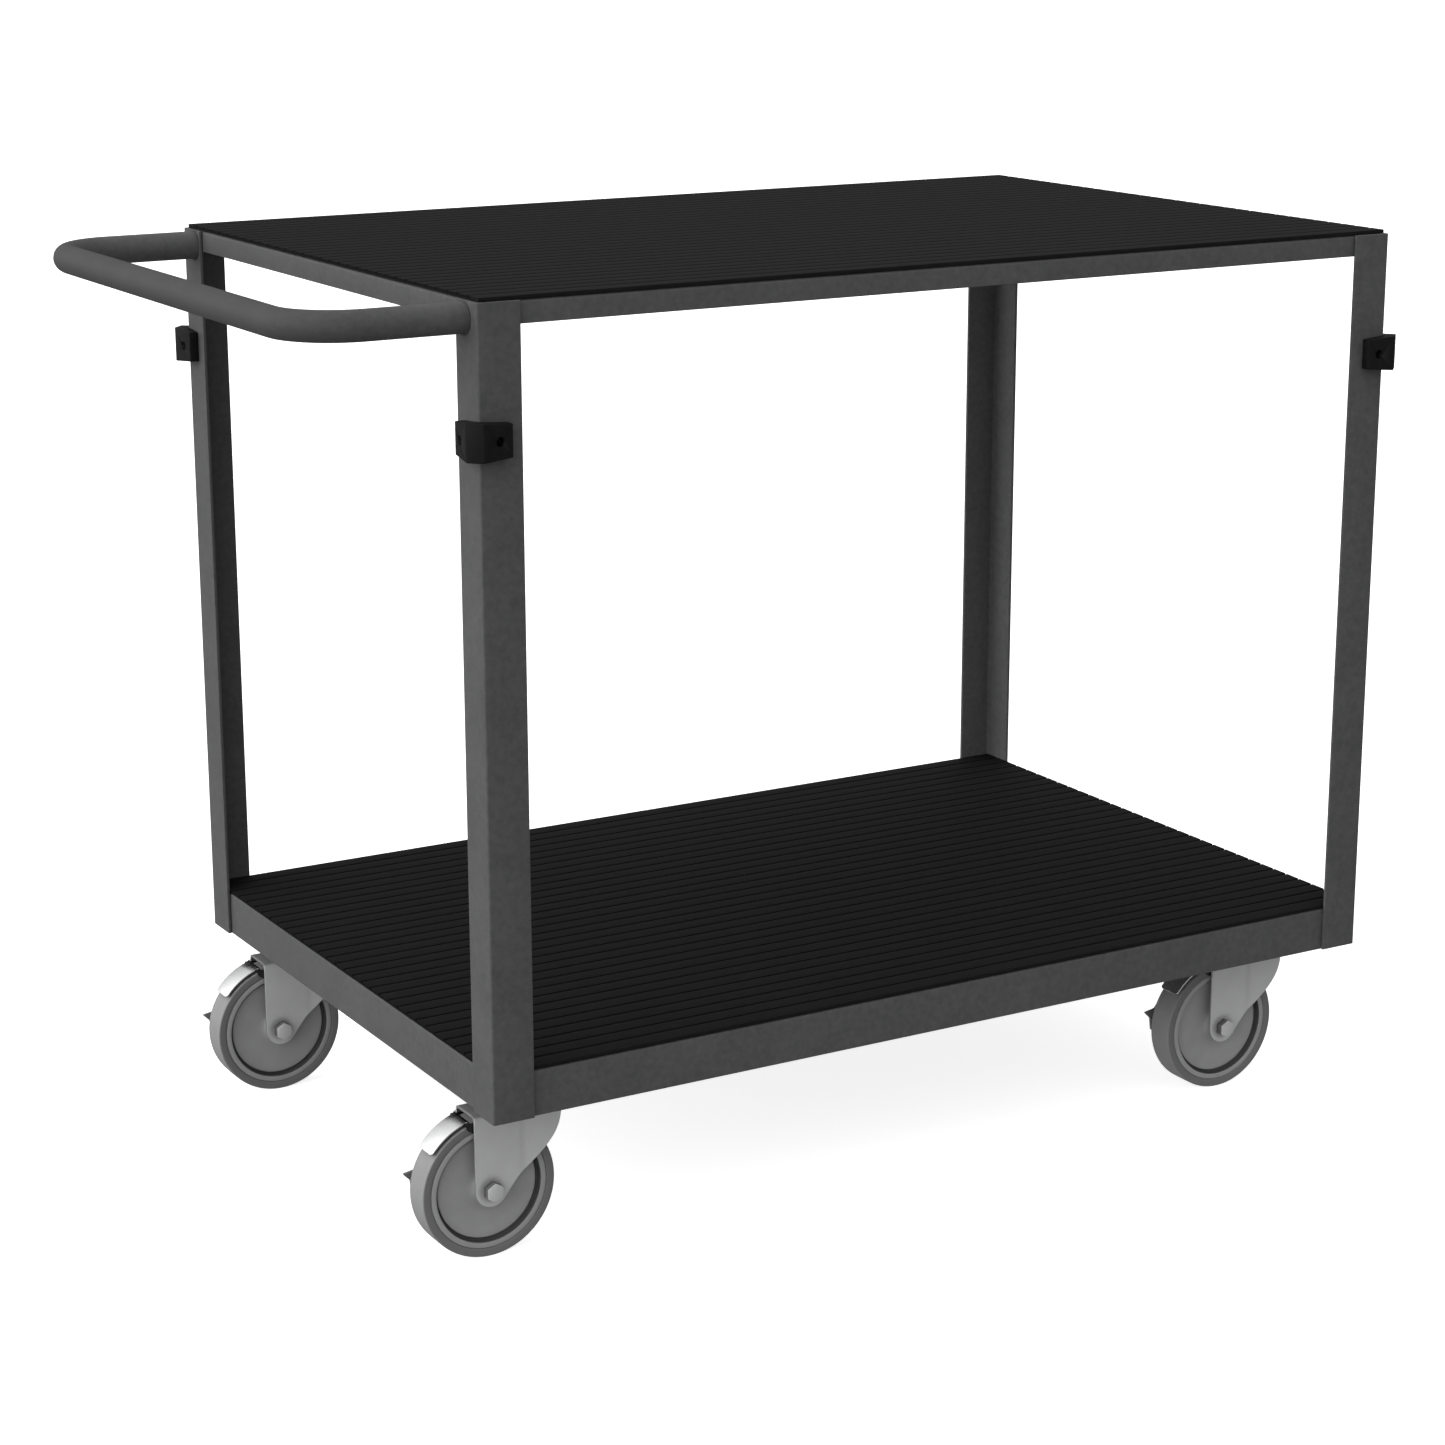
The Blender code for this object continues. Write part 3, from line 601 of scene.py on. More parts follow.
def make_mat(level):
    """Flat ribs along X between grooves with softened edges."""
    name = f"{level}_mat"
    low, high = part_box(name)
    half, depth = GROOVE[0] / 2, GROOVE[1]
    mouth = half + 0.15 * MM
    soft = 0.45 * MM
    count = int((high.y - low.y) / 2 / RIB_PITCH)
    outline = [(low.y, low.z, 0), (low.y, high.z, soft)]
    for k in range(-count, count + 1):
        y = k * RIB_PITCH
        outline += [(y - mouth, high.z, soft), (y - half, high.z - depth, soft),
                    (y + half, high.z - depth, soft), (y + mouth, high.z, soft)]
    outline += [(high.y, high.z, soft), (high.y, low.z, 0)]
    obj = as_object(f"{name}_ribbed", extruded(rounded(outline, 0, 3), low.x, high.x, "X"))
    side = 1 * MM

    # Painted shade down in the grooves, kept off the mat's side edges.
    def groove_shade(point):
        within = low.y + side < point.y < high.y - side
        return min(1, (high.z - point.z) / (0.8 * MM)) if within else 0

    store_shade_and_grime(obj, groove_shade)
    dress(obj, "frame", "mat", name)


def handle_line():
    """The handle's middle line, from the left post round to the right one."""
    low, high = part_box("push_handle")
    z = (low.z + high.z) / 2
    reach, half = low.x + TUBE_RADIUS, high.y - TUBE_RADIUS
    inner = (reach + HANDLE_BEND, half - HANDLE_BEND)
    points = [(high.x, half), ((high.x + inner[0]) / 2, half)]
    points += arc(inner, HANDLE_BEND, math.pi / 2, math.pi, 16)
    points += [(reach, 0)]
    points += arc((inner[0], -inner[1]), HANDLE_BEND, math.pi, 1.5 * math.pi, 16)
    points += [((high.x + inner[0]) / 2, -half), (high.x, -half)]
    return [Vector((x, y, z)) for x, y in points]


def bead(path, size, upright=(0, 0, 1)):
    """A weld bead: overlapping ripples that fade out at both ends."""
    length = sum((b - a).length for a, b in zip(path, path[1:]))
    ripples = max(3, round(length / (2.4 * MM)))

    def radius(share):
        fade = min(1, 6 * share, 6 * (1 - share))
        return size * (0.25 + 0.75 * fade) * (0.92 + 0.08 * abs(math.sin(math.pi * ripples * share)))

    return swept(path, radius, 10, upright)


def make_handle():
    """The bent tube, darker at the grip, and a bead round each end where it meets its post."""
    line = handle_line()
    obj = as_object("push_handle_tube", swept(line, lambda share: TUBE_RADIUS, 48))
    grip, post = line[len(line) // 2].x, line[0].x
    store_shade_and_grime(obj, lambda point: 0.45 * (1 - clamp((point.x - grip) / (post - grip)))**3)
    dress(obj, "frame", "powder_coat", "push_handle")
    for side, end in (("left", line[0]), ("right", line[-1])):
        sy = math.copysign(1, end.y)
        steps = 48
        turn = [math.radians(150) * (2 * k / steps - 1) for k in range(steps + 1)]
        path = [end + Vector((-BEAD_OFFSET, sy * TUBE_RADIUS * math.cos(a), TUBE_RADIUS * math.sin(a)))
                for a in turn]
        weld = as_object(f"handle_weld_{side}", bead(path, HANDLE_BEAD, (1, 0, 0)))
        # Painted shade: each bead is darkened where shade falls between tube and post.
        store_shade_and_grime(weld, 0.6)
        dress(weld, "frame", "powder_coat")


def make_shelf_welds(corner, sx, sy):
    """Two beads under the top shelf's edge, one on each leg of the post."""
    shelf_low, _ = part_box("top_shelf")
    low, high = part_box(f"post_{corner}")
    leg = high.x - low.x
    outer = Vector((low.x if sx < 0 else high.x, low.y if sy < 0 else high.y, shelf_low.z - BEAD_OFFSET))
    near, far = POST_THICKNESS + 3.5 * MM, leg - 2.0 * MM
    inward = POST_THICKNESS + 0.5 * MM
    steps = 40
    along = [near + (far - near) * (k / steps) for k in range(steps + 1)]
    runs = {"side": [(u, inward) for u in along], "end": [(inward, u) for u in along]}
    for place, run in runs.items():
        path = [outer + Vector((-sx * u, -sy * v, 0)) for u, v in run]
        dress(as_object(f"shelf_weld_{corner}_{place}", bead(path, SHELF_BEAD)), "frame", "powder_coat")


def hole_profile():
    """A bumper's screw hole and counterbore, as (radius, height) from the post's face outward."""
    radius, step = COUNTERBORE
    hole = 2.5 * MM
    bottom, top = -3 * MM, BUMPER_THICKNESS[0] + 1 * MM
    return [(0, bottom), (hole, bottom), (hole, step), (radius, step), (radius, top), (0, top)]


def screw_profile():
    """A pan head screw at the bottom of its counterbore, as (radius, height) from the post's face outward."""
    seat = COUNTERBORE[1]
    shank, head, rim, rise = 2.0 * MM, 3.5 * MM, 0.9 * MM, 1.3 * MM
    angles = [math.pi / 12 * k for k in range(6)]
    dome = [(head * math.cos(a), seat + rim + rise * math.sin(a)) for a in angles]
    recess = [(1.7 * MM, seat + 2.1 * MM), (1.5 * MM, seat + 0.7 * MM), (0, seat + 0.7 * MM)]
    return [(0, 0), (shank, 0), (shank, seat), (head, seat)] + dome + recess


def stand_on(bm, origin, outward):
    """Turns a shape that was made along +Z to stand on origin along outward."""
    turn = Vector((0, 0, 1)).rotation_difference(Vector(outward)).to_matrix().to_4x4()
    bm.transform(Matrix.Translation(origin) @ turn)
    return bm


def make_bumper(corner, sx, sy):
    """A moulded corner guard, tallest and thickest at the corner, with two sunk screws."""
    name = f"bumper_{corner}"
    low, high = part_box(name)
    post_low, post_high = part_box(f"post_{corner}")
    outer = (post_low.x if sx < 0 else post_high.x, post_low.y if sy < 0 else post_high.y)
    middle = (low.z + high.z) / 2
    gap = (high.x - low.x) - (BUMPER_THICKNESS[0] + BUMPER_LEG)
    t, end = (thickness + gap for thickness in BUMPER_THICKNESS)
    leg, c = BUMPER_LEG, -BUMPER_CHAMFER_START
    plan = [(leg, -end), (c, -t), (-t, c), (-end, leg), (-gap, leg), (-gap, -gap), (leg, -gap)]
    at_corner = (1, 2, 5)
    bm = bmesh.new()
    layers = []
    for up in (1, -1):
        layer = []
        for i, (u, v) in enumerate(plan):
            half = BUMPER_HEIGHT[0 if i in at_corner else 1] / 2
            layer.append(bm.verts.new((outer[0] - sx * u, outer[1] - sy * v, middle + up * half)))
        layers.append(layer)
        for part in ((0, 1, 5, 6), (1, 2, 5), (2, 3, 4, 5)):
            bm.faces.new([layer[i] for i in part])
    for i in range(len(plan)):
        j = (i + 1) % len(plan)
        bm.faces.new((layers[0][i], layers[0][j], layers[1][j], layers[1][i]))
    obj = as_object(f"{name}_moulding", bm)
    bevel(obj, 0.9 * MM, 4, 30)
    seats = {
        "side": (Vector((outer[0] - sx * SCREW_INSET, outer[1], middle)), (0, sy, 0)),
        "end": (Vector((outer[0], outer[1] - sy * SCREW_INSET, middle)), (sx, 0, 0)),
    }
    for place, (seat, outward) in seats.items():
        cut(obj, stand_on(turned(hole_profile(), "Z", 48), seat, outward))
        shape = stand_on(turned(screw_profile(), "Z", 32), seat, outward)
        screw = as_object(f"bumper_screw_{corner}_{place}", shape)
        # Painted shade: the screw down in its counterbore is darkened.
        store_shade_and_grime(screw, 0.8)
        dress(screw, "frame", "bumper")

    # Painted shade inside each counterbore.
    def hole_shade(point):
        near = 0.1 * MM
        for seat, outward in seats.values():
            height = (point - seat).dot(Vector(outward))
            aside = (point - seat - height * Vector(outward)).length
            if height < COUNTERBORE[1] + near and aside < COUNTERBORE[0] + near:
                return 1.0
        return 0.0

    store_shade_and_grime(obj, hole_shade)
    obj.data.shade_smooth()
    obj.data.set_sharp_from_angle(angle=SHARP)
    dress(obj, "frame", "bumper", name)


def make_channel(end):
    """A folded channel, open upward."""
    name = f"caster_channel_{end}"
    low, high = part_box(name)
    w, outside, inside, edge = CHANNEL_WALL, 4 * MM, 1.5 * MM, 0.3 * MM
    section = rounded([(low.x, low.z, outside), (high.x, low.z, outside), (high.x, high.z, edge),
                       (high.x - w, high.z, edge), (high.x - w, low.z + w, inside),
                       (low.x + w, low.z + w, inside), (low.x + w, high.z, edge), (low.x, high.z, edge)], 0)
    obj = as_object(f"{name}_folded", extruded(section, low.y, high.y, "Y"))
    bevel(obj, 0.4 * MM, 2)
    dress(obj, "frame", "powder_coat", name)


# Caster pieces

def hex_head(across_flats, height, chamfer, hole=0.0, bottom_chamfer=0.0):
    """A hexagon along +Z from 0 to height, its corners turned down, with or without a hole."""
    angles = circle(72)
    flat = across_flats / 2
    steps = 5
    slope = 0.45

    def radius(angle, limit):
        offset = (angle + math.pi / 6) % (math.pi / 3) - math.pi / 6
        return min(flat / math.cos(offset), limit)

    corner = flat / math.cos(math.pi / 6)
    drop = corner - flat + chamfer
    levels = [(drop * k / steps, corner - drop * (1 - k / steps)) for k in range(steps + 1)]
    stations = [(0, corner)]
    if bottom_chamfer:
        stations = [(bottom_chamfer * 0.6 * z / drop, limit) for z, limit in levels]
    stations += [(height - slope * z, limit) for z, limit in reversed(levels)]
    rings = [[(radius(a, limit) * math.cos(a), radius(a, limit) * math.sin(a), z) for a in angles]
             for z, limit in stations]
    if not hole:
        return skinned(rings)
    rings += [[(hole * math.cos(a), hole * math.sin(a), z) for a in angles] for z in (height, 0)]
    return skinned(rings, closed=True)


def threaded_profile(start, end, radius, pitch):
    """(radius, height) points of a thread's ridges, with a chamfered end."""
    points = [(0, start), (radius, start)]
    z = start + pitch / 2
    while z + pitch < end - pitch / 2:
        points += [(radius, z), (radius - 0.55 * pitch, z + pitch / 2)]
        z += pitch
    return points + [(radius - 0.1 * pitch, end - pitch), (radius - pitch, end), (0, end)]


def plate_bolt():
    """A hexagon head on its washer, along +Z."""
    head = hex_head(13 * MM, 5.3 * MM, 0.5 * MM)
    head.transform(Matrix.Translation((0, 0, 1.2 * MM)))
    radius, thickness = 8.0 * MM, 1.25 * MM
    profile = [(0, 0), (radius, 0), (radius + 0.2 * MM, 0.3 * MM), (radius, thickness), (0, thickness)]
    return merged(head, turned(profile, "Z", 40))


def make_plate(corner):
    """The bolted plate with its ball cup, and the four bolts that hold it to the channel."""
    name = f"caster_plate_{corner}"
    low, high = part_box(name)
    centre = JOINTS[f"{corner}_swivel"]
    face = high.z - PLATE_SHEET
    outline = rounded([(low.x, low.y), (high.x, low.y), (high.x, high.y), (low.x, high.y)], 8 * MM, 8)
    plate = as_object(f"{name}_pressed", extruded(outline, face, high.z, "Z"))
    bevel(plate, 0.5 * MM)
    dress(plate, "frame", "zinc", name)
    under = face - 0.1 * MM
    bore, bend, outside, inside, edge = 7.5 * MM, 2.0 * MM, 24.0 * MM, 21.5 * MM, 0.4 * MM
    shoulder = outside - bend
    cup = [(bore, under), (shoulder, under)] + arc((shoulder, under - bend), bend, math.pi / 2, 0, 5)
    cup += [(outside, low.z + edge), (outside - edge, low.z), (inside + edge, low.z), (inside, low.z + edge),
            (inside, under - 3.6 * MM), (inside - 1.5 * MM, under - 3.0 * MM), (bore, under - 3.0 * MM)]
    race = as_object(f"ball_cup_{corner}", turned(cup, "Z", 72, (centre.x, centre.y, 0)))
    # Painted shade: the cup under the plate is darkened all over.
    store_shade_and_grime(race, 0.45)
    dress(race, "frame", "zinc")
    for along, sx in (("rear", -1), ("front", 1)):
        for across, sy in (("right", -1), ("left", 1)):
            spot = Vector((centre.x + sx * PLATE_BOLT[0], centre.y + sy * PLATE_BOLT[1], face - 0.05 * MM))
            bolt = stand_on(plate_bolt(), spot, (0, 0, -1))
            dress(as_object(f"plate_bolt_{corner}_{along}_{across}", bolt), "frame", "zinc")


def make_kingpin(corner):
    """A rivet with a domed head under the crown."""
    name = f"kingpin_{corner}"
    low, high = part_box(name)
    centre = JOINTS[f"{corner}_swivel"]
    head, shank, rise, edge = 10.5 * MM, 6.2 * MM, 2.2 * MM, 0.3 * MM
    top = low.z + 4.0 * MM
    angles = [math.pi / 16 * k for k in range(9)]
    dome = [(head * math.sin(a), low.z + rise * (1 - math.cos(a))) for a in angles]
    profile = dome + [(head, top - edge), (head - edge, top), (shank, top), (shank, high.z), (0, high.z)]
    obj = as_object(f"{name}_rivet", turned(profile, "Z", 48, (centre.x, centre.y, 0)))
    dress(obj, "frame", "zinc", name)


def make_balls(corner):
    """One full race of balls."""
    name = f"swivel_balls_{corner}"
    low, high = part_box(name)
    centre = JOINTS[f"{corner}_swivel"]
    whole = bmesh.new()
    for angle in circle(BALLS):
        spot = (centre.x + BALL_CIRCLE * math.cos(angle), centre.y + BALL_CIRCLE * math.sin(angle),
                (low.z + high.z) / 2)
        bmesh.ops.create_icosphere(whole, subdivisions=3, radius=BALL_RADIUS, matrix=Matrix.Translation(spot))
    dress(as_object(f"{name}_set", whole), f"swivel_{corner}", "steel", name)


def smooth_front(z):
    """The fork's front edge at height z, as a smooth curve through its points."""
    points = FORK_FRONT
    z = min(max(z / MM, points[0][0]), points[-1][0])
    i = next(k for k in range(len(points) - 1) if z <= points[k + 1][0])
    p = [points[max(i - 1, 0)], points[i], points[i + 1], points[min(i + 2, len(points) - 1)]]

    def slope(a, b):
        return (b[1] - a[1]) / (b[0] - a[0])

    width = p[2][0] - p[1][0]
    t = (z - p[1][0]) / width
    start, end = slope(p[0], p[2]) * width, slope(p[1], p[3]) * width
    return MM * ((2 * t**3 - 3 * t**2 + 1) * p[1][1] + (t**3 - 2 * t**2 + t) * start
                 + (3 * t**2 - 2 * t**3) * p[2][1] + (t**3 - t**2) * end)


def fork_rows():
    """Rows over one half of the fork from the crown's middle to the foot, as (y, z, rear x, front x)."""
    nose = 67.5 * MM
    flat = FORK_HALF - FORK_BEND
    rows = []
    for share in (0, 0.25, 0.5, 0.75, 1):
        rows.append((flat * share, CROWN, -LOBE, nose + (smooth_front(CROWN) - nose) * share**3))
    for step in range(1, 7):
        angle = math.pi / 2 * step / 6
        z = CROWN - FORK_BEND + FORK_BEND * math.cos(angle)
        rows.append((flat + FORK_BEND * math.sin(angle), z, -LOBE, smooth_front(z)))
    top, bottom = CROWN - FORK_BEND, FORK_FRONT[0][0] * MM
    for step in range(1, 25):
        z = top + (bottom - top) * step / 24
        rear = -LOBE if z > 0 else -math.sqrt(LOBE**2 - z**2)
        rows.append((FORK_HALF, z, rear, smooth_front(z)))
    start = math.asin(-bottom / LOBE)
    for step in range(1, 8):
        angle = start + (math.radians(86) - start) * step / 7
        rows.append((FORK_HALF, -LOBE * math.sin(angle), -LOBE * math.cos(angle), LOBE * math.cos(angle)))
    return rows


def flare(x):
    """How far a leg stands out at x in front of the axle: level up to the crease, then a gentle slope."""
    soft = 2.0 * MM
    reach = x - CREASE_X
    return FLARE * (reach if reach > soft else max(0, reach + soft)**2 / (4 * soft))


def fork_shade(point):
    """Painted shade at a point from the axle: the fork's inside, its crown, a painted shadow round the bolt
    and a dark line down the crease.
    """
    x, y, z = point.x, abs(point.y), point.z
    across, up = max(0, y - flare(x) - FORK_HALF + FORK_BEND), max(0, z - CROWN + FORK_BEND)
    if math.hypot(across, up) < FORK_BEND - FORK_SHEET / 2:
        return 0.85
    crown = 0.6 * clamp((z - CROWN + 2.5 * MM) / (1.6 * MM))
    halo = 0.40 * clamp((13.0 * MM - math.hypot(x + 1.0 * MM, z - 1.0 * MM)) / (4.0 * MM))
    crease = 0.14 * math.exp(-((x - CREASE_X - 1.0 * MM) / (2.2 * MM))**2)
    return max(crown, halo, crease)


def make_fork(corner):
    """Pressed sheet bent over the wheel, its legs flared in front of a soft crease."""
    name = f"fork_{corner}"
    axle = JOINTS[f"{corner}_wheel"]
    half = fork_rows()
    rows = [(-y, z, rear, front) for y, z, rear, front in reversed(half[1:])] + half
    columns = 32
    grid = []
    for y, z, rear, front in rows:
        across = [rear + (front - rear) * k / columns for k in range(columns + 1)]
        grid.append([axle + Vector((x, y + flare(x) * y / FORK_HALF, z)) for x in across])
    obj = pressed(f"{name}_pressing", grid, FORK_SHEET, 0.5 * MM, axle)
    # Painted shade and a painted shadow of the bolt on the pressing.
    store_shade_and_grime(obj, lambda point: fork_shade(point - axle))
    dress(obj, f"swivel_{corner}", "zinc", name)


def make_race(corner):
    """The lower ball race that is pressed on the fork's crown."""
    axle = JOINTS[f"{corner}_wheel"]
    kingpin = JOINTS[f"{corner}_swivel"]
    base = axle.z + CROWN - 0.4 * MM
    low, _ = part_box(f"swivel_balls_{corner}")
    top = low.z - 0.2 * MM
    bore, foot = 7.0 * MM, 22.5 * MM
    profile = [(bore, base), (foot, base), (foot, base + 1.4 * MM), (19.6 * MM, base + 2.4 * MM),
               (19.0 * MM, top - 2.6 * MM), (18.2 * MM, top - 0.6 * MM), (17.4 * MM, top), (bore, top)]
    obj = as_object(f"ball_race_{corner}", turned(profile, "Z", 72, (kingpin.x, kingpin.y, 0)))
    # Painted shade: the race under the crown is darkened all over.
    store_shade_and_grime(obj, 0.7)
    dress(obj, f"swivel_{corner}", "zinc")


def make_axle(corner):
    """A chamfered hexagon bolt from the right, its nut on the left, and the sleeve between."""
    axle = JOINTS[f"{corner}_wheel"]
    body = f"swivel_{corner}"
    seat = FORK_HALF + 0.3 * MM
    bolt_name, nut_name, sleeve_name = (f"axle_{part}_{corner}" for part in ("bolt", "nut", "sleeve"))
    low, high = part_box(bolt_name)
    head_height = axle.y - seat - low.y
    head = stand_on(hex_head(15 * MM, head_height, 0.9 * MM), axle - Vector((0, seat, 0)), (0, -1, 0))

    # Painted shade on the hexagons' flats, darkest at their base; the end faces stay undarkened.
    def flats_shade(point):
        share = (abs(point.y - axle.y) - seat) / head_height
        return 0.95 - 0.25 * share if share < 0.9 else 0.0

    thread = threaded_profile(-2 * seat, high.y - axle.y - seat, 5 * MM, 1.25 * MM)
    shank = stand_on(turned(thread, "Z", 40), axle + Vector((0, seat, 0)), (0, 1, 0))
    obj = as_object(f"{bolt_name}_hex", merged(head, shank))
    store_shade_and_grime(obj, flats_shade)
    dress(obj, body, "zinc", bolt_name)
    nut_low, nut_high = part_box(nut_name)
    nut = hex_head(16 * MM, nut_high.y - nut_low.y, 0.7 * MM, hole=5.3 * MM, bottom_chamfer=0.8 * MM)
    obj = as_object(f"{nut_name}_hex", stand_on(nut, axle + Vector((0, seat, 0)), (0, 1, 0)))
    store_shade_and_grime(obj, flats_shade)
    dress(obj, body, "zinc", nut_name)
    sleeve_low, sleeve_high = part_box(sleeve_name)
    half = (sleeve_high.y - sleeve_low.y) / 2
    bore, radius, edge = 5.3 * MM, 8 * MM, 0.4 * MM
    profile = [(bore, -half), (radius - edge, -half), (radius, edge - half), (radius, half - edge),
               (radius - edge, half), (bore, half)]
    dress(as_object(f"{sleeve_name}_turned", turned(profile, "Y", 48, axle)), body, "steel", sleeve_name)


def both_sides(half_profile):
    """A closed profile from its half on the +Y side in mm, listed from the bore outward."""
    metres = [(radius * MM, y * MM) for radius, y in half_profile]
    return [(radius, -y) for radius, y in metres] + metres[::-1]


def make_hub(corner):
    """Rim, dished disc and boss, moulded in one. A relief groove runs inside the rim's ring."""
    name = f"wheel_hub_{corner}"
    low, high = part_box(name)
    axle = JOINTS[f"{corner}_wheel"]
    boss = (high.y - low.y) / 2 / MM
    half = [(8.3, boss - 0.5), (8.8, boss), (12.4, boss), (13.0, boss - 0.6), (13.4, 10.6),
            (14.2, 8.9), (15.8, 7.9), (18.5, 7.5), (24.0, 7.4), (30.0, 7.55), (36.0, 7.8), (41.0, 8.1),
            (45.0, 8.4), (46.0, 8.3), (46.5, 7.8), (46.7, 6.6), (47.3, 6.1), (48.4, 6.1), (49.0, 6.6),
            (49.3, 12.5), (49.8, 13.05), (50.6, 13.2), (53.4, 13.2), (54.2, 12.9), (54.5, 12.2)]
    obj = as_object(f"{name}_moulding", turned(both_sides(half), "Y", 128, axle))

    # Painted shade down in the groove inside the rim.
    def groove_shade(point):
        radius = math.hypot(point.x - axle.x, point.z - axle.z) / MM
        return 1.0 if 46.6 < radius < 49.4 else 0.0

    store_shade_and_grime(obj, groove_shade)
    dress(obj, f"wheel_{corner}", "hub", name)


def make_tyre(corner):
    """A solid tread with rounded shoulders, slightly crowned, with a faint parting line."""
    name = f"tyre_{corner}"
    axle = JOINTS[f"{corner}_wheel"]
    half = [(54.6, 12.4), (54.9, 13.0), (55.5, 13.3), (57.5, 13.45), (60.0, 13.5)]
    shoulder = 1.3
    half += arc((62.4 - shoulder, 13.5 - shoulder), shoulder, math.pi / 2, 0, 6)
    half += [(62.45, 8.0), (62.48, 4.0), (62.48, 0.5), (62.5, 0.3)]
    obj = as_object(f"{name}_tread", turned(both_sides(half), "Y", 160, axle))
    # Painted shade: everything inside the tread's radius, the sides, is darkened.
    store_shade_and_grime(obj, lambda point: clamp((62.3 * MM - math.hypot(point.x - axle.x, point.z - axle.z)) / MM))
    dress(obj, f"wheel_{corner}", "tyre", name)


def make_pedal(corner):
    """A plate curved round the tyre with rounded lower corners, a wider neck and two ears, each on a pin."""
    name = f"brake_pedal_{corner}"
    axle = JOINTS[f"{corner}_wheel"]
    pivot = JOINTS[f"{corner}_brake"]
    start, end = PEDAL_SPAN
    columns, rows = 16, 40
    shares = [2 * k / columns - 1 for k in range(columns + 1)]
    outer = PEDAL_RADIUS + PEDAL_SHEET
    grid = []
    for i in range(rows + 1):
        angle = start + (end - start) * i / rows
        past = max(0, PEDAL_CORNER - (end - angle) * outer)
        width = PEDAL_HALF_WIDTH - (PEDAL_CORNER - math.sqrt(max(0, PEDAL_CORNER**2 - past**2)))
        width += (EAR[1] - PEDAL_HALF_WIDTH) * clamp((start + PEDAL_NECK - angle) / PEDAL_SHOULDER)
        line = []
        for share in shares:
            radius = outer + PEDAL_CROWN * (1 - share**2)
            line.append(axle + Vector((radius * math.cos(angle), width * share, radius * math.sin(angle))))
        grid.append(line)
    blade = pressed(f"{name}_blade", grid, PEDAL_SHEET, 0.45 * MM, axle)

    # Painted shade on the blade's inner side, and a painted shadow of the crown over its top that fades down
    # the blade.
    def blade_shade(point):
        x, z = point.x - axle.x, point.z - axle.z
        if math.hypot(x, z) < outer - 0.8 * MM:
            return 0.9
        past_neck = math.atan2(z, x) - start - PEDAL_NECK
        return 1.0 if past_neck < 0 else 0.55 * max(0, 1 - past_neck / math.radians(7))

    store_shade_and_grime(blade, blade_shade)
    dress(blade, f"brake_{corner}", "chrome", name)
    x, z = pivot.x - axle.x, pivot.z - axle.z
    tip = 0.5 * MM
    ear = rounded([(-22.0 * MM, 62.9 * MM, tip), (-19.8 * MM, 62.9 * MM, tip), (x + 3 * MM, z + 4.6 * MM),
                   (x + 4.9 * MM, z - 3.2 * MM), (x - 3 * MM, z - 5.0 * MM), (-19.5 * MM, 56.0 * MM, 3 * MM),
                   (-21.6 * MM, 60.0 * MM, 1 * MM)], 3.6 * MM, 6)
    inward, edge = 2 * MM, 0.5 * MM
    length = FORK_HALF - 0.2 * MM - EAR[0]
    pin = [(0, -inward), (PIN_RADIUS, -inward), (PIN_RADIUS, length - edge), (PIN_RADIUS - edge, length),
           (0, length)]
    for side, sy in (("right", -1), ("left", 1)):
        faces = sorted(axle.y + sy * y for y in EAR)
        outline = [(axle.x + u, axle.z + v) for u, v in ear]
        obj = as_object(f"pedal_ear_{corner}_{side}", extruded(outline, *faces, "Y"))
        bevel(obj, 0.3 * MM, 2)
        # Painted shade: the ears are darkened all over.
        store_shade_and_grime(obj, 1.0)
        dress(obj, f"brake_{corner}", "chrome")
        seat = Vector((pivot.x, axle.y + sy * EAR[0], pivot.z))
        obj = as_object(f"pedal_pin_{corner}_{side}", stand_on(turned(pin, "Z", 32), seat, (0, sy, 0)))
        dress(obj, f"brake_{corner}", "zinc")


def make_lever(corner):
    """The flat release lever, its toe out past the tyre."""
    name = f"release_lever_{corner}"
    low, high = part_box(name)
    axle = JOINTS[f"{corner}_wheel"]
    pivot = JOINTS[f"{corner}_brake"]
    x, z = (pivot.x - axle.x) / MM, (pivot.z - axle.z) / MM
    outline = rounded([(x - 6.0, z + 4.5, 3), (x, z + 6.5, 3), (x + 5.5, z + 3.5, 3), (x + 6.0, z - 4.0, 3),
                       (x - 1.0, z - 10.0, 6), (-36.0, 22.0, 12), (-47.0, -2.0, 8), (-57.0, -6.0, 2),
                       (-58.5, 7.5, 2), (-65.5, 14.5, 0.8), (-53.5, 16.5, 3), (-42.0, 30.0, 12)], 0, 6)
    places = [(axle.x + u * MM, axle.z + v * MM) for u, v in outline]
    obj = as_object(f"{name}_pressing", extruded(places, low.y, high.y, "Y"))
    bevel(obj, 0.5 * MM, 3)
    # Painted shade: the lever is darkened all over.
    store_shade_and_grime(obj, 0.72)
    dress(obj, f"brake_{corner}", "zinc", name)


# Studio

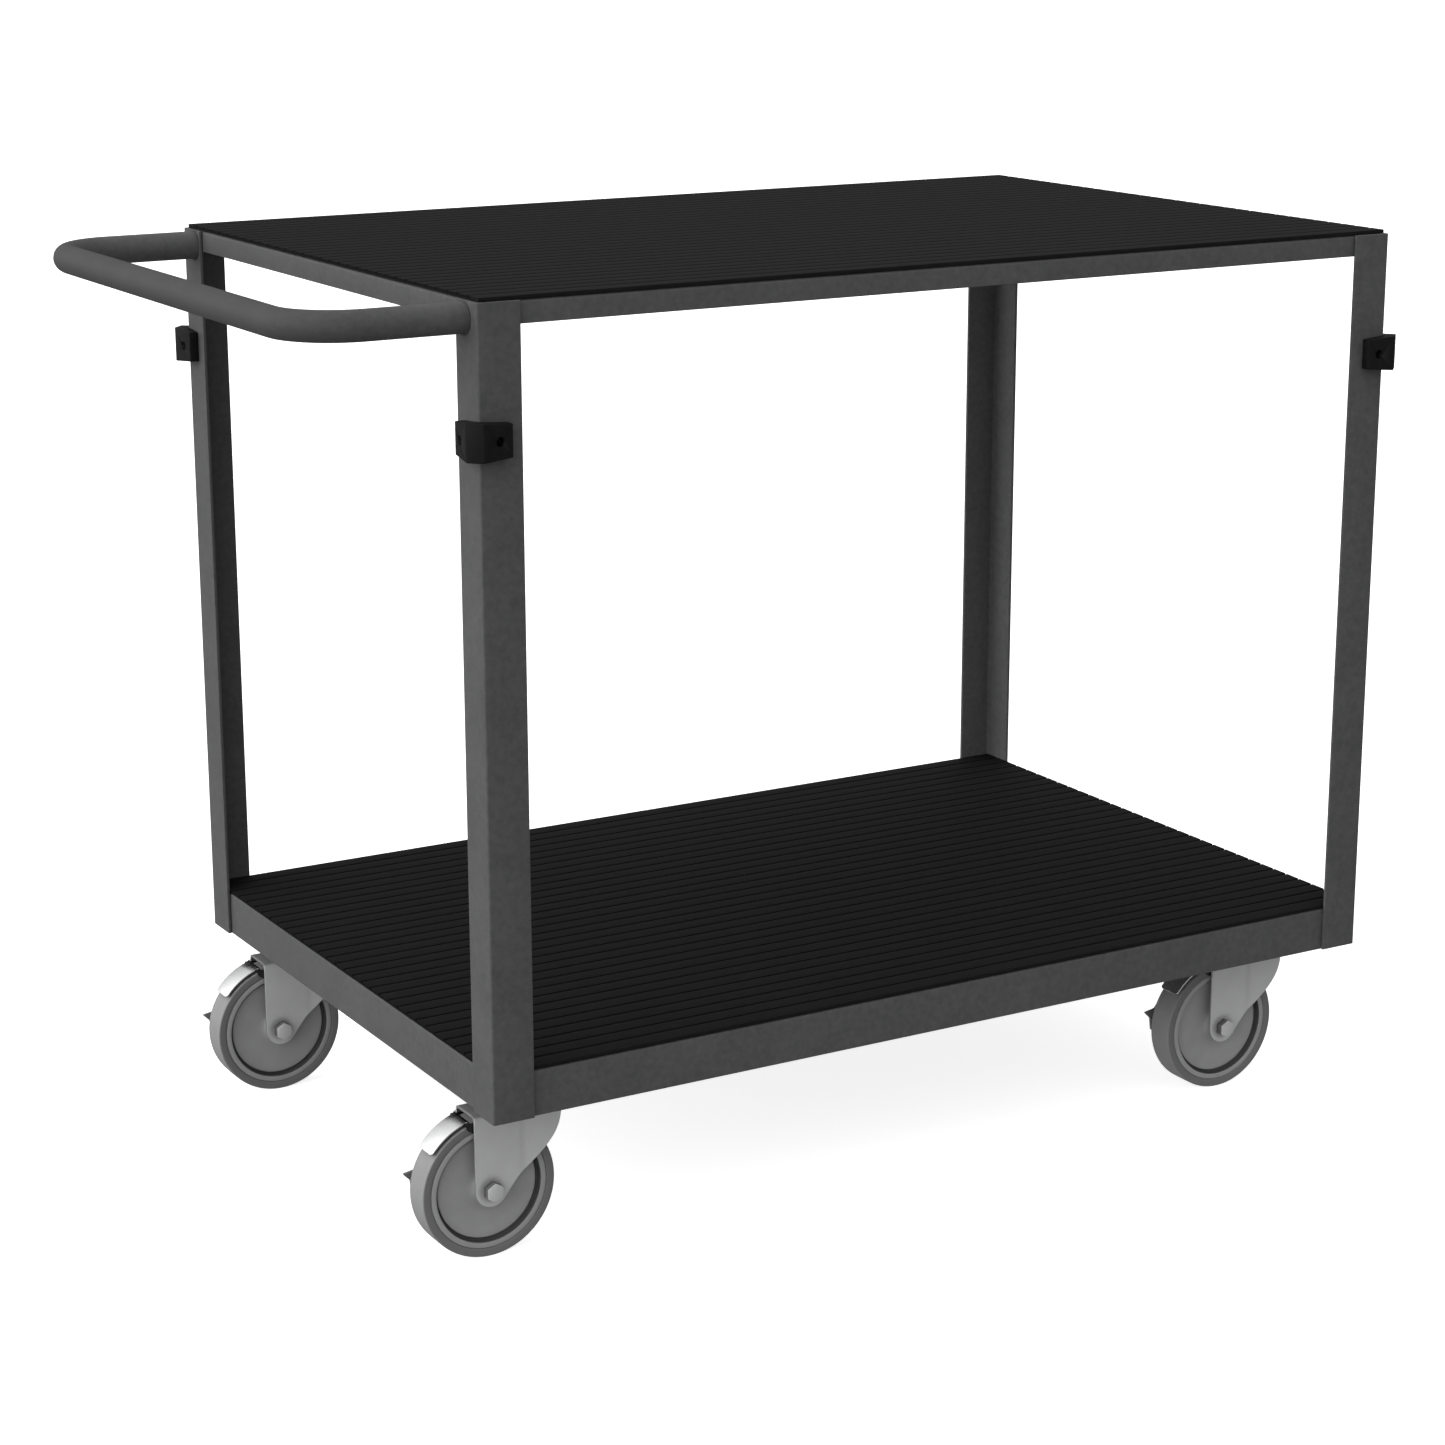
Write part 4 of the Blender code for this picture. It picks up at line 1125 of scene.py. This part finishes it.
def make_floor():
    """A pale floor that glows for the camera, so that it stays white, and much less for the cart above it."""
    look = Look("pale_floor", 0.9, specular=0.0)
    look.colour(look.mixed(look.noise(0.4, 3), grey(0.80), grey(0.84)))
    nodes = look.tree.nodes
    dim = nodes.new("ShaderNodeBsdfDiffuse")
    dim.inputs["Color"].default_value = (*grey(FLOOR_BOUNCE[0]), 1)
    seen = nodes.new("ShaderNodeMixShader")
    ray = nodes.new("ShaderNodeLightPath")
    look.link(ray.outputs["Is Camera Ray"], seen.inputs["Fac"])
    for socket, base, glow in ((1, dim, FLOOR_BOUNCE[1]), (2, look.shader, FLOOR_GLOW)):
        emission = nodes.new("ShaderNodeEmission")
        emission.inputs["Strength"].default_value = glow
        both = nodes.new("ShaderNodeAddShader")
        look.link(base.outputs["BSDF"], both.inputs[0])
        look.link(emission.outputs["Emission"], both.inputs[1])
        look.link(both.outputs["Shader"], seen.inputs[socket])
    look.link(seen.outputs["Shader"], nodes["Material Output"].inputs["Surface"])
    bm = bmesh.new()
    bmesh.ops.create_circle(bm, cap_ends=True, segments=96, radius=40)
    floor = as_object("floor", bm)
    floor.location.z = cad_box[0].z
    floor.data.materials.append(look.material)


def make_surround():
    """A surround that the camera sees as white. It lights the cart broadly from the left and from above."""
    world = bpy.data.worlds.new("studio")
    bpy.context.scene.world = world
    world.use_nodes = True
    tree = world.node_tree
    white = tree.nodes["Background"]
    place, ray, soft, seen = (tree.nodes.new(f"ShaderNode{kind}") for kind in (
        "TexCoord", "LightPath", "Background", "MixShader"))

    def calculated(operation, first, second):
        node = tree.nodes.new("ShaderNodeMath")
        node.operation = operation
        for socket, value in zip(node.inputs, (first, second)):
            if isinstance(value, float):
                socket.default_value = value
            else:
                tree.links.new(value, socket)
        return node.outputs["Value"]

    strength = FILL
    for direction, amount, power in SOFT_LIGHTS:
        facing = tree.nodes.new("ShaderNodeVectorMath")
        facing.operation = "DOT_PRODUCT"
        tree.links.new(place.outputs["Generated"], facing.inputs[0])
        facing.inputs[1].default_value = Vector(direction).normalized()
        share = calculated("POWER", calculated("MAXIMUM", facing.outputs["Value"], 0.0), power)
        strength = calculated("ADD", calculated("MULTIPLY", share, amount), strength)
    white.inputs["Color"].default_value = (1, 1, 1, 1)
    soft.inputs["Color"].default_value = (1, 1, 1, 1)
    tree.links.new(strength, soft.inputs["Strength"])
    tree.links.new(ray.outputs["Is Camera Ray"], seen.inputs["Fac"])
    tree.links.new(soft.outputs["Background"], seen.inputs[1])
    tree.links.new(white.outputs["Background"], seen.inputs[2])
    tree.links.new(seen.outputs["Shader"], tree.nodes["World Output"].inputs["Surface"])


def make_camera():
    """The camera at the photo's viewing angle."""
    data = bpy.data.cameras.new("camera")
    data.sensor_width = 36.0
    data.lens = LENS
    camera = bpy.data.objects.new("camera", data)
    camera.location = CAMERA_PLACE
    camera.rotation_euler = [math.radians(angle) for angle in CAMERA_TURN]
    bpy.context.scene.collection.objects.link(camera)
    bpy.context.scene.camera = camera


def main():
    """Every piece of the cart, then the studio round it."""
    make_camera()
    for corner, (sx, sy) in CORNERS.items():
        make_post(corner, sx, sy)
        make_shelf_welds(corner, sx, sy)
        make_bumper(corner, sx, sy)
        make_plate(corner)
        make_kingpin(corner)
        make_balls(corner)
        make_fork(corner)
        make_race(corner)
        make_axle(corner)
        make_hub(corner)
        make_tyre(corner)
        make_pedal(corner)
        make_lever(corner)
    for level in ("top", "lower"):
        make_shelf(level)
        make_mat(level)
    for end in ("rear", "front"):
        make_channel(end)
    make_handle()
    make_floor()
    make_surround()
    bpy.context.scene.view_settings.view_transform = "Standard"


main()
